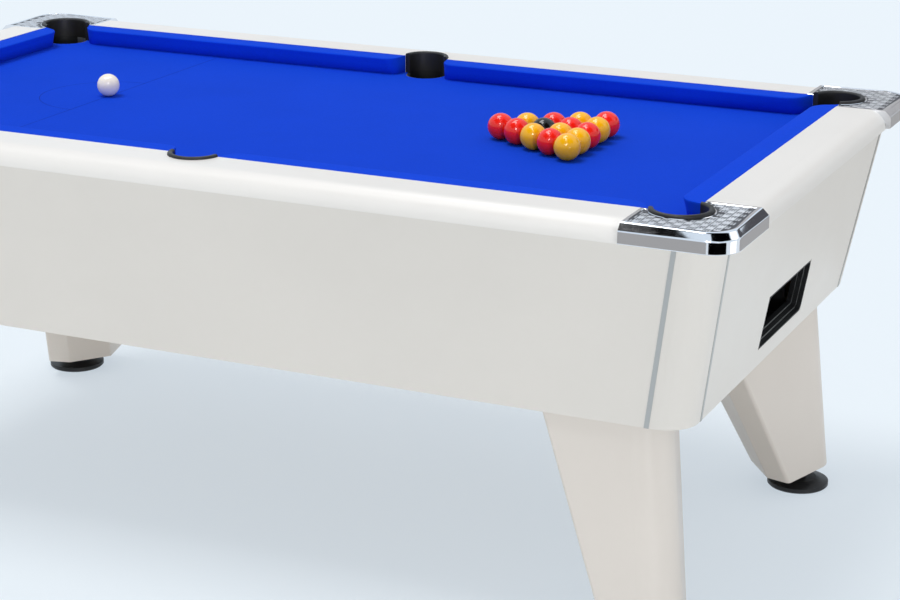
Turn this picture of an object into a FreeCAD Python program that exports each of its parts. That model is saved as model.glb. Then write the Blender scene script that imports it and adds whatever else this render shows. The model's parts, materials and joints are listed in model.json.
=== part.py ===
import FreeCAD, Part
import math
import os
import re
import Sketcher

# Pool table with a slate bed, a lift-up top, a free-flowing ball return and four splayed legs.
# Frame: origin on the floor under the middle of the table, +X along the length towards the
# ball return window, +Y across the width towards the hinges of the top, +Z up. Millimetres.

Vec = FreeCAD.Vector
doc = FreeCAD.newDocument("PoolTable")

# --------------------------------------------------------------------------------------
# Driving dimensions
# --------------------------------------------------------------------------------------

SIZES = {
    # how far a cut runs past what it cuts
    "past": 1,
    # playing surface and overall height
    "play_length": 1829,
    "play_width": 914.5,
    "table_height": 839,
    # cushions and rails
    "cushion_height": 38.5,
    "cushion_width": 49,
    "nose_drop": 2.6,
    "cushion_undercut": 12,
    "cushion_top_slope": 4,
    "cushion_gap": 0.4,
    "corner_mouth": 22,
    "corner_cushion_round": 44,
    "middle_mouth": 8,
    "middle_cushion_round": 30,
    "rail_width": 103.4,
    "rail_round": 36,
    "rail_tongue": 11,
    # pockets
    "corner_pocket_in_x": 19,
    "corner_pocket_in_y": 15.25,
    "middle_pocket_in_y": 3.25,
    "corner_pocket_radius": 47,
    "middle_pocket_radius": 41,
    "liner_wall": 10,
    "liner_gap": 0.3,
    "liner_lip": 4,
    "liner_proud": 5,
    "sleeve_wall": 3,
    "sleeve_length": 32,
    # slate and bed cloth
    "slate_thick": 19,
    "cloth_thick": 1,
    "slate_bearing_x": 19,
    "slate_bearing_y": 33,
    "frame_height": 40,
    "frame_width": 45,
    "frame_in_x": 100,
    "frame_in_y": 76,
    # corner castings
    "cap_reach_x": 190,
    "cap_reach_y": 194,
    "cap_proud": 10,
    "cap_drop": 36,
    "cap_gap": 0.5,
    "cap_round": 52,
    "cap_chamfer": 13,
    "cap_sunk": 1,
    # cabinet
    "rail_overhang": 27,
    "top_gap": 0.3,
    "cabinet_depth": 351,
    "cabinet_lean": 60,
    "panel_thick": 25,
    "post_width": 70,
    "post_round": 62,
    "trim_width": 9,
    "trim_depth": 8,
    "trim_proud": 0.8,
    "floor_thick": 18,
    "floor_gap": 1,
    "floor_corner": 42,
    "block_reach": 75,
    "block_clear": 10,
    "block_web": 30,
    "block_corner": 24,
    # ball return
    "window_width": 277,
    "window_height": 107,
    "window_rise": 91.3,
    "window_round": 14,
    "window_step": 6,
    "window_step_depth": 9,
    "window_rim": 3,
    "window_gap": 0.4,
    "line_width": 2.4,
    "line_thick": 1,
    "tray_length": 155,
    "tray_height": 90,
    "tray_wall": 6,
    "tray_gap": 14,
    "tray_inlet": 24,
    "tray_clear": 8.8,
    "run_width": 66,
    "run_depth": 50,
    "run_wall": 5,
    "run_drop": 88.5,
    "side_fall_parts": 22,
    "end_fall_parts": 19,
    "run_centre_in": 8,
    "run_end_in": 7,
    "run_gap": 8,
    "run_step": 8,
    # legs and feet
    "leg_lift": 39,
    "leg_round": 60,
    "leg_soft": 8,
    "foot_in_x": 60.5,
    "foot_in_y": 84.5,
    "foot_radius": 65,
    "foot_thick": 18,
    "foot_edge": 3,
    "foot_rim": 10.8,
    "foot_crown": 39,
    "hub_radius": 17,
    "hub_top": 32,
    "stem_radius": 8,
    "stem_top": 84,
    "stem_gap": 0.3,
    "plate_thick": 6,
    "plate_length": 130,
    "plate_width": 180,
    "plate_in_x": 120,
    "plate_in_y": 52,
    "bolt_inset": 18,
    "bolt_radius": 5,
    "bolt_hole_gap": 0.4,
    "bolt_head_radius": 9,
    "bolt_head_height": 7,
    "bolt_bite": 50,
    "bolt_bore_gap": 0.1,
    "bolt_bore_end": 5,
    # rail bolts
    "rail_bolt_radius": 4,
    "rail_bolt_in": 12,
    "rail_bolt_bite": 24,
    "rail_bolt_pitch": 300,
    "rail_bolt_end_pitch": 345,
    "rail_bolt_head_radius": 8,
    "rail_bolt_head_height": 6,
    # hinges of the top
    "hinge_drop": 7.5,
    "hinge_out": 7.4,
    "hinge_radius": 5.6,
    "hinge_pin_radius": 2.5,
    "hinge_pin_gap": 0.05,
    "hinge_length": 120,
    "hinge_split_gap": 0.5,
    "hinge_leaf": 2.4,
    "hinge_leaf_height": 34,
    "hinge_leaf_in": 3,
    "hinge_leaf_lap": 1,
    "hinge_pitch": 700,
    # prop stay
    "stay_length": 600,
    "stay_width": 24,
    "stay_thick": 5,
    "stay_tip_round": 11.76,
    "stay_pivot_in": 182.6,
    "stay_pivot_drop": 100,
    "stay_side_gap": 4,
    "stay_pin_radius": 5,
    "stay_pin_gap": 0.05,
    "stay_washer": 1,
    "stay_foot_reach": 25,
    # lock
    "lock_drop": 36,
    "lock_radius": 11,
    "lock_gap": 0.2,
    "lock_proud": 2,
    "cam_face_gap": 0.3,
    "cam_hub_radius": 7,
    "cam_length": 30,
    "cam_width": 10,
    "cam_thick": 3,
    "keeper_offset": 12,
    "keeper_width": 18,
    "keeper_drop": 48.5,
    "keeper_thick": 4,
    "keeper_gap": 1,
    "keeper_plate": 2,
    # balls
    "ball_radius": 26.2,
    "cue_radius": 23.8,
    "ball_gap": 0.4,
    "ball_lift": 0.3,
    "rack_apex": 400,
    "baulk_line": 511,
}

# The leg's plan at its top and at its base: how far each corner stands in from the corner of
# the cabinet's base, along the length and across the width.
LEG_CORNERS = {
    "outer": ((28, 11.6), (-12, -8.4)),
    "side": ((278, 11.6), (137, -8.4)),
    "inner_side": ((290, 312.6), (165, 92.6)),
    "inner_end": ((216, 382.6), (102, 177.6)),
    "end": ((156, 393.6), (50, 191.6)),
}
LEG_LEVELS = ("top", "base")

for corner, offsets in LEG_CORNERS.items():
    for level, (in_x, in_y) in zip(LEG_LEVELS, offsets):
        SIZES[f"leg_{corner}_{level}_along"] = in_x
        SIZES[f"leg_{corner}_{level}_across"] = in_y

# Sizes that follow from the driving ones, written as expressions.
DERIVED = {
    "rail_in_x": "play_length / 2 + cushion_width",
    "rail_in_y": "play_width / 2 + cushion_width",
    "rail_out_x": "rail_in_x + rail_width",
    "rail_out_y": "rail_in_y + rail_width",
    "bed_top": "table_height - cushion_height",
    "slate_top": "bed_top - cloth_thick",
    "slate_base": "slate_top - slate_thick",
    "slate_x": "rail_in_x + slate_bearing_x",
    "slate_y": "rail_in_y + slate_bearing_y",
    "tongue_top": "bed_top + rail_tongue",
    "corner_x": "rail_in_x - corner_pocket_in_x",
    "corner_y": "rail_in_y - corner_pocket_in_y",
    "middle_y": "rail_in_y - middle_pocket_in_y",
    "cap_in_x": "rail_out_x - cap_reach_x",
    "cap_in_y": "rail_out_y - cap_reach_y",
    "cap_out_x": "rail_out_x + cap_proud",
    "cap_out_y": "rail_out_y + cap_proud",
    "cap_top": "table_height - cap_sunk",
    "cab_top": "bed_top - top_gap",
    "cab_base": "cab_top - cabinet_depth",
    "top_x": "rail_out_x - rail_overhang",
    "top_y": "rail_out_y - rail_overhang",
    "base_x": "top_x - cabinet_lean",
    "base_y": "top_y - cabinet_lean",
    "floor_base": "cab_base + plate_thick",
    "floor_top": "floor_base + floor_thick",
    "hinge_y": "top_y + hinge_out",
    "hinge_z": "bed_top - hinge_drop",
    "foot_x": "base_x - foot_in_x",
    "foot_y": "base_y - foot_in_y",
    "lock_z": "bed_top - lock_drop",
    "window_centre": "cab_base + window_rise",
    "window_x": "base_x + cabinet_lean * window_rise / cabinet_depth",
    "tray_x": "window_x - window_step_depth * 3 - tray_length - tray_gap",
    "run_high": "bed_top - run_drop",
    "whole_fall": "run_high - run_step - floor_top - tray_height - tray_clear - run_depth",
    "run_fall": "whole_fall * side_fall_parts / (side_fall_parts + end_fall_parts)",
    "end_run_fall": "whole_fall - run_fall",
    "end_run_high": "run_high - run_fall - run_step",
    "block_top": "end_run_high - run_depth - block_clear",
}

sheet = doc.addObject("Spreadsheet::Sheet", "Sizes")
for row, (alias, size) in enumerate(SIZES.items(), start=1):
    sheet.set(f"A{row}", alias)
    sheet.set(f"B{row}", str(size))
    sheet.setAlias(f"B{row}", alias)
doc.recompute()

WORD = re.compile(r"[a-z][a-z0-9_]*")


def bound(text):
    """Turns words that name a size into references to the sheet's cells."""
    def swap(match):
        word = match.group()
        if word in DERIVED:
            return "(" + bound(DERIVED[word]) + ")"
        if word in SIZES:
            return "Sizes." + word
        return word
    return WORD.sub(swap, text)


def number(text):
    """The value that an expression of sizes has now."""
    return float(reference.evalExpression(bound(text)))


reference = doc.addObject("Part::Vertex", "OriginPoint")

# --------------------------------------------------------------------------------------
# Helpers for bodies, sketches and primitives
# --------------------------------------------------------------------------------------

# Two places closer than this are the same place.
TOUCH = 0.01
SPIN_AXIS = {"X": Vec(0, 1, 0), "Y": Vec(-1, 0, 0), "Z": Vec(0, 0, 1)}
SPIN_ANGLE = {"X": 90, "Y": 90, "Z": 0}


def new_body(name):
    return doc.addObject("PartDesign::Body", name)


def new_sketch(body, role="XY_Plane", offset="0"):
    plane = next(item for item in body.Origin.OriginFeatures if item.Role == role)
    sketch = body.newObject("Sketcher::SketchObject", body.Name + "Sketch")
    sketch.AttachmentSupport = [(plane, "")]
    sketch.MapMode = "FlatFace"
    sketch.setExpression("AttachmentOffset.Base.z", bound(offset))
    return sketch


def pin_point(sketch, geometry, point, place):
    """Ties a point of the sketch to two expressions."""
    for kind, text in zip(("DistanceX", "DistanceY"), place):
        guess = number(text)
        index = sketch.addConstraint(Sketcher.Constraint(kind, -1, 1, geometry, point, guess))
        sketch.setExpression(f"Constraints[{index}]", bound(text))


def polygon(body, corners, role="XY_Plane", offset="0"):
    """A sketch of one closed outline of straight sides through the corners."""
    sketch = new_sketch(body, role, offset)
    places = [Vec(number(across), number(along), 0) for across, along in corners]
    count = len(corners)
    for index in range(count):
        sketch.addGeometry(Part.LineSegment(places[index], places[(index + 1) % count]), False)
    for index in range(count):
        sketch.addConstraint(
            Sketcher.Constraint("Coincident", index, 2, (index + 1) % count, 1))
    for index, corner in enumerate(corners):
        pin_point(sketch, index, 1, corner)
    return sketch


def rectangle(body, across, along, role="XY_Plane", offset="0"):
    (left, right), (low, high) = across, along
    corners = [(left, low), (right, low), (right, high), (left, high)]
    return polygon(body, corners, role, offset)


def circles(body, centres, radius, role="XY_Plane", offset="0"):
    """A sketch of equal circles."""
    sketch = new_sketch(body, role, offset)
    for index, centre in enumerate(centres):
        place = Vec(number(centre[0]), number(centre[1]), 0)
        sketch.addGeometry(Part.Circle(place, Vec(0, 0, 1), number(radius)), False)
        pin_point(sketch, index, 3, centre)
        tie = sketch.addConstraint(Sketcher.Constraint("Radius", index, number(radius)))
        sketch.setExpression(f"Constraints[{tie}]", bound(radius))
    return sketch


def pad(body, sketch, length, both_ways=False):
    feature = body.newObject("PartDesign::Pad", body.Name + "Pad")
    feature.Profile = sketch
    feature.Midplane = both_ways
    feature.setExpression("Length", bound(length))
    return feature


def pocket(body, sketch, depth=None, upwards=False):
    """Cuts the sketch's outlines, right through both ways where no depth is given."""
    doc.recompute()
    before = body.Shape.Volume
    feature = body.newObject("PartDesign::Pocket", body.Name + "Pocket")
    feature.Profile = sketch
    if depth is None:
        feature.Type = "ThroughAll"
        feature.Midplane = True
    else:
        feature.setExpression("Length", bound(depth))
        feature.Reversed = upwards
    doc.recompute()
    if not body.Shape.Volume < before - 1:
        raise RuntimeError(f"{body.Name}: a pocket cuts nothing")
    return feature


def revolve(body, sketch):
    feature = body.newObject("PartDesign::Revolution", body.Name + "Turn")
    feature.Profile = sketch
    feature.ReferenceAxis = (sketch, ["V_Axis"])
    feature.Angle = 360
    return feature


def loft(body, sketches):
    feature = body.newObject("PartDesign::AdditiveLoft", body.Name + "Loft")
    feature.Profile = sketches[0]
    feature.Sections = sketches[1:]
    feature.Ruled = True
    return feature


def round_edges(body, radius, wanted, kind="Fillet"):
    """Rounds, or chamfers, the edges of the body that pass the test."""
    doc.recompute()
    base = body.Tip
    names = [f"Edge{index}" for index, edge in enumerate(base.Shape.Edges, start=1)
             if wanted(edge)]
    if not names:
        raise RuntimeError(f"{body.Name}: no edge to round")
    feature = body.newObject("PartDesign::" + kind, body.Name + kind)
    feature.Base = (base, names)
    feature.setExpression("Radius" if kind == "Fillet" else "Size", bound(radius))
    return feature


def box(name, across, along, up):
    """A block between three pairs of expressions."""
    block = doc.addObject("Part::Box", name)
    for side, axis, (low, high) in zip(("Length", "Width", "Height"), "xyz",
                                       (across, along, up)):
        block.setExpression(side, bound(f"({high}) - ({low})"))
        block.setExpression("Placement.Base." + axis, bound(low))
    return block


def cylinder(name, radius, length, place, axis="Z"):
    """A round bar that starts at a point and runs along an axis."""
    bar = doc.addObject("Part::Cylinder", name)
    bar.Placement.Rotation = FreeCAD.Rotation(SPIN_AXIS[axis], SPIN_ANGLE[axis])
    bar.setExpression("Radius", bound(radius))
    bar.setExpression("Height", bound(length))
    for letter, text in zip("xyz", place):
        bar.setExpression("Placement.Base." + letter, bound(text))
    return bar


def cut(name, base, tool):
    result = doc.addObject("Part::Cut", name)
    result.Base = base
    result.Tool = tool
    return result


def fuse(name, pieces):
    result = doc.addObject("Part::MultiFuse", name)
    result.Shapes = pieces
    return result


def group(name, pieces):
    result = doc.addObject("Part::Compound", name)
    result.Links = pieces
    return result


def mirrored(name, source, normal):
    """A copy of a piece on the other side of a plane through the origin."""
    copy = doc.addObject("Part::Mirroring", name)
    copy.Source = source
    copy.Normal = Vec(*normal)
    return copy


def rounded_wire(corners, radii, height):
    """A closed outline at one height, with each corner rounded by its own radius."""
    level = number(height)
    points = [Vec(number(across), number(along), level) for across, along in corners]
    bends = []
    for index, point in enumerate(points):
        back = (points[index - 1] - point).normalize()
        ahead = (points[(index + 1) % len(points)] - point).normalize()
        radius = number(radii[index])
        half_turn = back.getAngle(ahead) / 2
        run = radius / math.tan(half_turn)
        middle = point + (back + ahead).normalize() * (radius / math.sin(half_turn) - radius)
        bends.append((point + back * run, middle, point + ahead * run))
    edges = []
    for index, (first, middle, last) in enumerate(bends):
        if first.distanceToPoint(last) > 0:
            edges.append(Part.Arc(first, middle, last).toShape())
        edges.append(Part.LineSegment(last, bends[(index + 1) % len(bends)][0]).toShape())
    return Part.Wire(edges)


def rounded_loft(name, levels):
    """A solid between rounded outlines whose sides lean by different amounts, so that a
    sketch with one fillet can't give it. Each level is (height, corners, radii)."""
    wires = [rounded_wire(corners, radii, height) for height, corners, radii in levels]
    piece = doc.addObject("Part::Feature", name)
    piece.Shape = Part.makeLoft(wires, True, True)
    return piece


ACROSS_LENGTH = (1, 0, 0)
ACROSS_WIDTH = (0, 1, 0)
nodes = []


def keep(label, piece):
    """Marks a finished sub-part, whose label names its file."""
    piece.Label = label
    nodes.append(piece)
    return piece


def keep_four(names, piece):
    """Keeps a corner piece and its three mirror copies: back right, back left, front right,
    front left."""
    back_right, back_left, front_right, front_left = names
    left = mirrored(back_left, piece, ACROSS_LENGTH)
    keep(back_right, piece)
    keep(back_left, left)
    keep(front_right, mirrored(front_right, piece, ACROSS_WIDTH))
    keep(front_left, mirrored(front_left, left, ACROSS_WIDTH))


def joined_title(label):
    return label.title().replace("_", "")


def four_group(label, piece):
    """Keeps a corner piece and its three mirror copies as one node of separate solids."""
    left = mirrored(piece.Name + "Left", piece, ACROSS_LENGTH)
    front = [mirrored(piece.Name + "Front" + side, source, ACROSS_WIDTH)
             for side, source in (("Right", piece), ("Left", left))]
    keep(label, group(joined_title(label), [piece, left] + front))


def pair_group(label, piece):
    """Keeps a piece of the back half and its mirror copy as one node of separate solids."""
    front = mirrored(piece.Name + "Front", piece, ACROSS_WIDTH)
    keep(label, group(joined_title(label), [piece, front]))


def corner_names(stem):
    return [f"{stem}_{place}" for place in ("back_right", "back_left", "front_right",
                                            "front_left")]


# --------------------------------------------------------------------------------------
# Cabinet: four leaning panels, curved corner posts, trims, floor and corner blocks
# --------------------------------------------------------------------------------------

LEVELS = (("cab_base", "base"), ("cab_top", "top"))


def leaning_piece(name, corners_at):
    """A piece that leans with the cabinet: corners_at gives its plan at the base or the top."""
    body = new_body(name)
    loft(body, [polygon(body, corners_at(level), offset=height) for height, level in LEVELS])
    return body


def side_panel(level):
    end = f"{level}_x - post_width - trim_width"
    outer = f"{level}_y"
    return [(f"-({end})", f"{outer} - panel_thick"), (end, f"{outer} - panel_thick"),
            (end, outer), (f"-({end})", outer)]


def end_panel(level):
    end = f"{level}_y - post_width - trim_width"
    outer = f"{level}_x"
    return [(f"{outer} - panel_thick", f"-({end})"), (outer, f"-({end})"),
            (outer, end), (f"{outer} - panel_thick", end)]


def corner_post(level):
    out_x, out_y = f"{level}_x", f"{level}_y"
    return [(f"{out_x} - post_width", out_y), (f"{out_x} - post_width", f"{out_y} - panel_thick"),
            (f"{out_x} - panel_thick", f"{out_y} - panel_thick"),
            (f"{out_x} - panel_thick", f"{out_y} - post_width"),
            (out_x, f"{out_y} - post_width"), (out_x, out_y)]


def side_trim(level):
    inner, outer = f"{level}_x - post_width - trim_width", f"{level}_x - post_width"
    return [(inner, f"{level}_y - trim_depth"), (outer, f"{level}_y - trim_depth"),
            (outer, f"{level}_y + trim_proud"), (inner, f"{level}_y + trim_proud")]


def end_trim(level):
    inner, outer = f"{level}_y - post_width - trim_width", f"{level}_y - post_width"
    return [(f"{level}_x - trim_depth", inner), (f"{level}_x + trim_proud", inner),
            (f"{level}_x + trim_proud", outer), (f"{level}_x - trim_depth", outer)]


def make_panels():
    back = leaning_piece("BackPanel", side_panel)
    keep("back_panel", back)
    keep("front_panel", mirrored("FrontPanel", back, ACROSS_WIDTH))
    plain = leaning_piece("EndPanel", end_panel)
    opening = box("WindowOpening", ("-panel_thick * 2", "panel_thick"),
                  ("-window_width / 2 - window_gap", "window_width / 2 + window_gap"),
                  ("-window_height / 2 - window_gap", "window_height / 2 + window_gap"))
    opening = group("LeaningOpening", [opening])
    lean_with_end(opening)
    keep("window_end_panel", cut("WindowEndPanel", plain, opening))
    other_end = mirrored("OtherEnd", plain, ACROSS_LENGTH)
    lock_hole = cylinder("LockHole", "lock_radius + lock_gap", "panel_thick * 4",
                         ("-top_x - panel_thick", "0", "lock_z"), "X")
    keep("lock_end_panel", cut("LockEndPanel", other_end, lock_hole))


def lean_with_end(piece):
    """Lays a piece drawn about the origin on the window end's outer face."""
    piece.Placement.Rotation = FreeCAD.Rotation(Vec(0, 1, 0), 0)
    piece.setExpression("Placement.Rotation.Angle", bound("atan(cabinet_lean / cabinet_depth)"))
    piece.setExpression("Placement.Base.x", bound("window_x"))
    piece.setExpression("Placement.Base.z", bound("window_centre"))


def make_posts():
    radii = ["0", "0", "post_round - panel_thick", "0", "0", "post_round"]
    post = rounded_loft("Post", [(height, corner_post(level), radii) for height, level in LEVELS])
    keep_four(corner_names("corner_post"), post)


def make_trims():
    trims = []
    for name, shape in (("SideTrim", side_trim), ("EndTrim", end_trim)):
        right = leaning_piece(name, shape)
        left = mirrored(name + "Left", right, ACROSS_LENGTH)
        trims += [right, left]
        trims += [mirrored(name + "FrontRight", right, ACROSS_WIDTH),
                  mirrored(name + "FrontLeft", left, ACROSS_WIDTH)]
    keep("corner_trims", group("CornerTrims", trims))


def make_floor():
    body = new_body("Floor")
    edge_x = "base_x - panel_thick - floor_gap"
    edge_y = "base_y - panel_thick - floor_gap"
    cut_x, cut_y = edge_x + " - floor_corner", edge_y + " - floor_corner"
    corners = []
    for x_side, y_side, x_first in (("", "", True), ("-", "", False),
                                    ("-", "-", True), ("", "-", False)):
        along_side = (f"{x_side}({cut_x})", f"{y_side}({edge_y})")
        along_end = (f"{x_side}({edge_x})", f"{y_side}({cut_y})")
        corners += [along_end, along_side] if x_first else [along_side, along_end]
    pad(body, polygon(body, corners, offset="floor_base"), "floor_thick")
    pocket(body, circles(body, leg_bolt_places(), "bolt_radius + bolt_hole_gap"))
    keep("cabinet_floor", body)


def make_corner_blocks():
    body = new_body("CornerBlock")
    corner_x = "base_x - panel_thick - floor_gap"
    corner_y = "base_y - panel_thick - floor_gap"
    corners = [(f"{corner_x} - block_reach", corner_y), (f"{corner_x} - block_reach",
               f"{corner_y} - block_web"), (f"{corner_x} - block_web",
               f"{corner_y} - block_reach"), (corner_x, f"{corner_y} - block_reach"),
               (corner_x, f"{corner_y} - block_corner"), (f"{corner_x} - block_corner", corner_y)]
    pad(body, polygon(body, corners, offset="floor_top"), "block_top - floor_top")
    four_group("corner_blocks", body)


# --------------------------------------------------------------------------------------
# Legs, leg plates, bolts and levelling feet
# --------------------------------------------------------------------------------------

def leg_outline(level):
    return [(f"base_x - leg_{corner}_{level}_along", f"base_y - leg_{corner}_{level}_across")
            for corner in LEG_CORNERS]


def leg_plate_span():
    high_x, high_y = "(base_x - plate_in_x)", "(base_y - plate_in_y)"
    return (f"{high_x} - plate_length", high_x), (f"{high_y} - plate_width", high_y)


def leg_bolt_places():
    """The sixteen places of the leg bolts, four in each quarter."""
    (low_x, high_x), (low_y, high_y) = leg_plate_span()
    quarter = [(x_place, y_place) for x_place in (f"{low_x} + bolt_inset", f"{high_x} - bolt_inset")
               for y_place in (f"{low_y} + bolt_inset", f"{high_y} - bolt_inset")]
    return [(f"{x_side}({x_place})", f"{y_side}({y_place})") for x_side in ("", "-")
            for y_side in ("", "-") for x_place, y_place in quarter]


def make_legs():
    radii = ["leg_round" if corner == "outer" else "leg_soft" for corner in LEG_CORNERS]
    shell = rounded_loft("LegBlock", [("leg_lift", leg_outline("base"), radii),
                                      ("cab_base", leg_outline("top"), radii)])
    holes = [cylinder("StemHole", "stem_radius + stem_gap", "stem_top + past",
                      ("foot_x", "foot_y", "0"))]
    for index, place in enumerate(leg_bolt_places()[:4]):
        holes.append(cylinder(f"LegBoltHole{index}", "bolt_radius + bolt_bore_gap",
                              "bolt_bite * 2", (*place, "cab_base - bolt_bite - bolt_bore_end")))
    keep_four(corner_names("leg"), cut("Leg", shell, fuse("LegHoles", holes)))


def make_leg_plates():
    span_x, span_y = leg_plate_span()
    body = new_body("LegPlate")
    pad(body, rectangle(body, span_x, span_y, offset="cab_base"), "plate_thick")
    pocket(body, circles(body, leg_bolt_places()[:4], "bolt_radius + bolt_hole_gap"))
    four_group("leg_plates", body)


def make_bolt_set(label, places, radius, length, low, head_radius, head_height, head_up):
    """Identical bolts as separate solids: shanks upright, heads above or below."""
    solids = []
    for place in places:
        centre = Vec(number(place[0]), number(place[1]), number(low))
        shank = Part.makeCylinder(number(radius), number(length), centre)
        lift = number(length) if head_up else -number(head_height)
        head = Part.makeCylinder(number(head_radius), number(head_height),
                                 centre + Vec(0, 0, lift))
        solids.append(shank.fuse(head).removeSplitter())
    bolts = doc.addObject("Part::Feature", joined_title(label))
    bolts.Shape = Part.makeCompound(solids)
    keep(label, bolts)


def make_leg_bolts():
    make_bolt_set("leg_bolts", leg_bolt_places(), "bolt_radius",
                  "floor_top - cab_base + bolt_bite", "cab_base - bolt_bite",
                  "bolt_head_radius", "bolt_head_height", True)


def make_feet():
    body = new_body("Foot")
    profile = [("0", "0"), ("foot_radius - foot_edge", "0"), ("foot_radius", "foot_edge"),
               ("foot_radius", "foot_rim"), ("foot_crown", "foot_thick"),
               ("hub_radius", "foot_thick"), ("hub_radius", "hub_top"),
               ("stem_radius", "hub_top"), ("stem_radius", "stem_top"), ("0", "stem_top")]
    revolve(body, polygon(body, profile, role="XZ_Plane"))
    body.setExpression("Placement.Base.x", bound("foot_x"))
    body.setExpression("Placement.Base.y", bound("foot_y"))
    keep_four(corner_names("levelling_foot"), body)


# --------------------------------------------------------------------------------------
# Ball return: window bezel with its bright lines, tray and runs
# --------------------------------------------------------------------------------------

def window_block(name, inset, depth, thick):
    """A rounded block in the window's own plane, which the end panel's lean is added to."""
    body = new_body(name)
    half_y, half_z = f"window_width / 2 - ({inset})", f"window_height / 2 - ({inset})"
    pad(body, rectangle(body, (f"-({half_y})", half_y), (f"-({half_z})", half_z),
                        "YZ_Plane", depth), thick)
    round_edges(body, f"window_round - ({inset}) / 2", runs_along_x)
    return body


def window_ring(name, inset, width, depth, thick):
    """A flat ring of the given width whose outline is inset from the window's."""
    block = window_block(name + "Block", inset, depth, thick)
    hole = window_block(name + "Hole", f"({inset}) + ({width})", f"{depth} - past",
                        f"{thick} + past * 2")
    return cut(name, block, hole)


def runs_along_x(edge):
    first, last = edge.Vertexes[0].Point, edge.Vertexes[-1].Point
    return abs(last.y - first.y) < TOUCH and abs(last.z - first.z) < TOUCH


def make_window():
    steps = []
    for step in range(3):
        steps.append(window_ring(f"BezelStep{step}", "0", f"window_rim + window_step * {step}",
                                 f"-window_step_depth * {step + 1}", "window_step_depth"))
    bezel = fuse("WindowBezel", steps)
    lean_with_end(bezel)
    keep("window_bezel", bezel)
    lines = []
    for step in (1, 2):
        lines.append(window_ring(f"BrightLine{step}",
                                 f"window_rim + window_step * {step} - line_width",
                                 "line_width", f"-window_step_depth * {step}", "line_thick"))
    bright = group("WindowLines", lines)
    lean_with_end(bright)
    keep("window_lines", bright)


def make_tray():
    half = "window_width / 2"
    outer = box("TrayBlock", ("tray_x", "tray_x + tray_length"), (f"-({half})", half),
                ("floor_top", "floor_top + tray_height"))
    inner = box("TrayHollow", ("tray_x + tray_wall", "tray_x + tray_length + tray_wall"),
                (f"-({half}) + tray_wall", f"{half} - tray_wall"),
                ("floor_top + tray_wall", "floor_top + tray_height * 2"))
    keep("ball_tray", cut("BallTray", outer, inner))


def make_side_runs():
    """A channel down each long side, which takes the balls to the window end."""
    half, fall = "run_width / 2", "atan(run_fall / (corner_x * 2))"
    long_half = "(corner_x + run_width / 2 - run_end_in)"
    outer = box("RunBlock", (f"-({long_half})", long_half), (f"-({half})", half),
                ("-run_depth", "0"))
    hollow = box("RunHollow", (f"-({long_half}) + run_wall", f"{long_half} - run_wall"),
                 (f"-({half}) + run_wall", f"{half} - run_wall"), ("run_wall - run_depth", "past"))
    side_exit = box("RunExit", ("corner_x - run_width / 2", f"{long_half} - run_wall"),
                    ("-run_width", "0"), ("run_wall - run_depth", "past"))
    run = cut("SideRun", cut("RunChannel", outer, hollow), side_exit)
    run.Placement.Rotation = FreeCAD.Rotation(Vec(0, 1, 0), 0)
    run.setExpression("Placement.Rotation.Angle", bound(fall))
    run.setExpression("Placement.Base.y", bound("corner_y - run_centre_in"))
    run.setExpression("Placement.Base.z", bound("run_high - run_fall / 2"))
    pair_group("side_ball_runs", run)


def make_end_runs():
    """A short channel on each side of the window end, which drops the balls into the tray."""
    start = "(corner_y - run_centre_in - run_width / 2 - run_gap)"
    finish = "(window_width / 2 - tray_inlet)"
    length = f"({start} - {finish})"
    half = "run_width / 2"
    outer = box("EndRunBlock", (f"-({half})", half), (f"-{length}", "0"), ("-run_depth", "0"))
    hollow = box("EndRunHollow", (f"-({half}) + run_wall", f"{half} - run_wall"),
                 (f"-{length} - past", "past"), ("run_wall - run_depth", "past"))
    run = cut("EndRun", outer, hollow)
    run.Placement.Rotation = FreeCAD.Rotation(Vec(1, 0, 0), 0)
    run.setExpression("Placement.Rotation.Angle",
                      bound(f"atan(end_run_fall / {length})"))
    run.setExpression("Placement.Base.x", bound("corner_x - run_centre_in"))
    run.setExpression("Placement.Base.y", bound(start))
    run.setExpression("Placement.Base.z", bound("end_run_high"))
    pair_group("end_ball_runs", run)


# --------------------------------------------------------------------------------------
# Lift-up top: slate, cloth, frame, rails, cushions, pocket liners and corner castings
# --------------------------------------------------------------------------------------

SIDES = (("", ""), ("-", ""), ("-", "-"), ("", "-"))
# The radius of what goes round the outside of a pocket's liner.
CORNER_RING = "corner_pocket_radius + liner_wall + liner_gap"
MIDDLE_RING = "middle_pocket_radius + liner_wall + liner_gap"


def corner_centres():
    return [(f"{x_side}(corner_x)", f"{y_side}(corner_y)") for x_side, y_side in SIDES]


def rail_bolt_places():
    """Where the rail bolts pass through the slate's margin, long sides then ends."""
    side_y = "(rail_in_y + rail_bolt_in)"
    end_x = "(rail_in_x + rail_bolt_in)"
    long_steps = ("rail_bolt_pitch / 2", "rail_bolt_pitch * 1.5", "rail_bolt_pitch * 2.5")
    end_steps = ("rail_bolt_pitch / 2", "rail_bolt_end_pitch")
    sides = [(f"{x_side}{step}", f"{y_side}{side_y}") for x_side, y_side in SIDES
             for step in long_steps]
    ends = [(f"{x_side}{end_x}", f"{y_side}{step}") for x_side, y_side in SIDES
            for step in end_steps]
    return sides, ends


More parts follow.
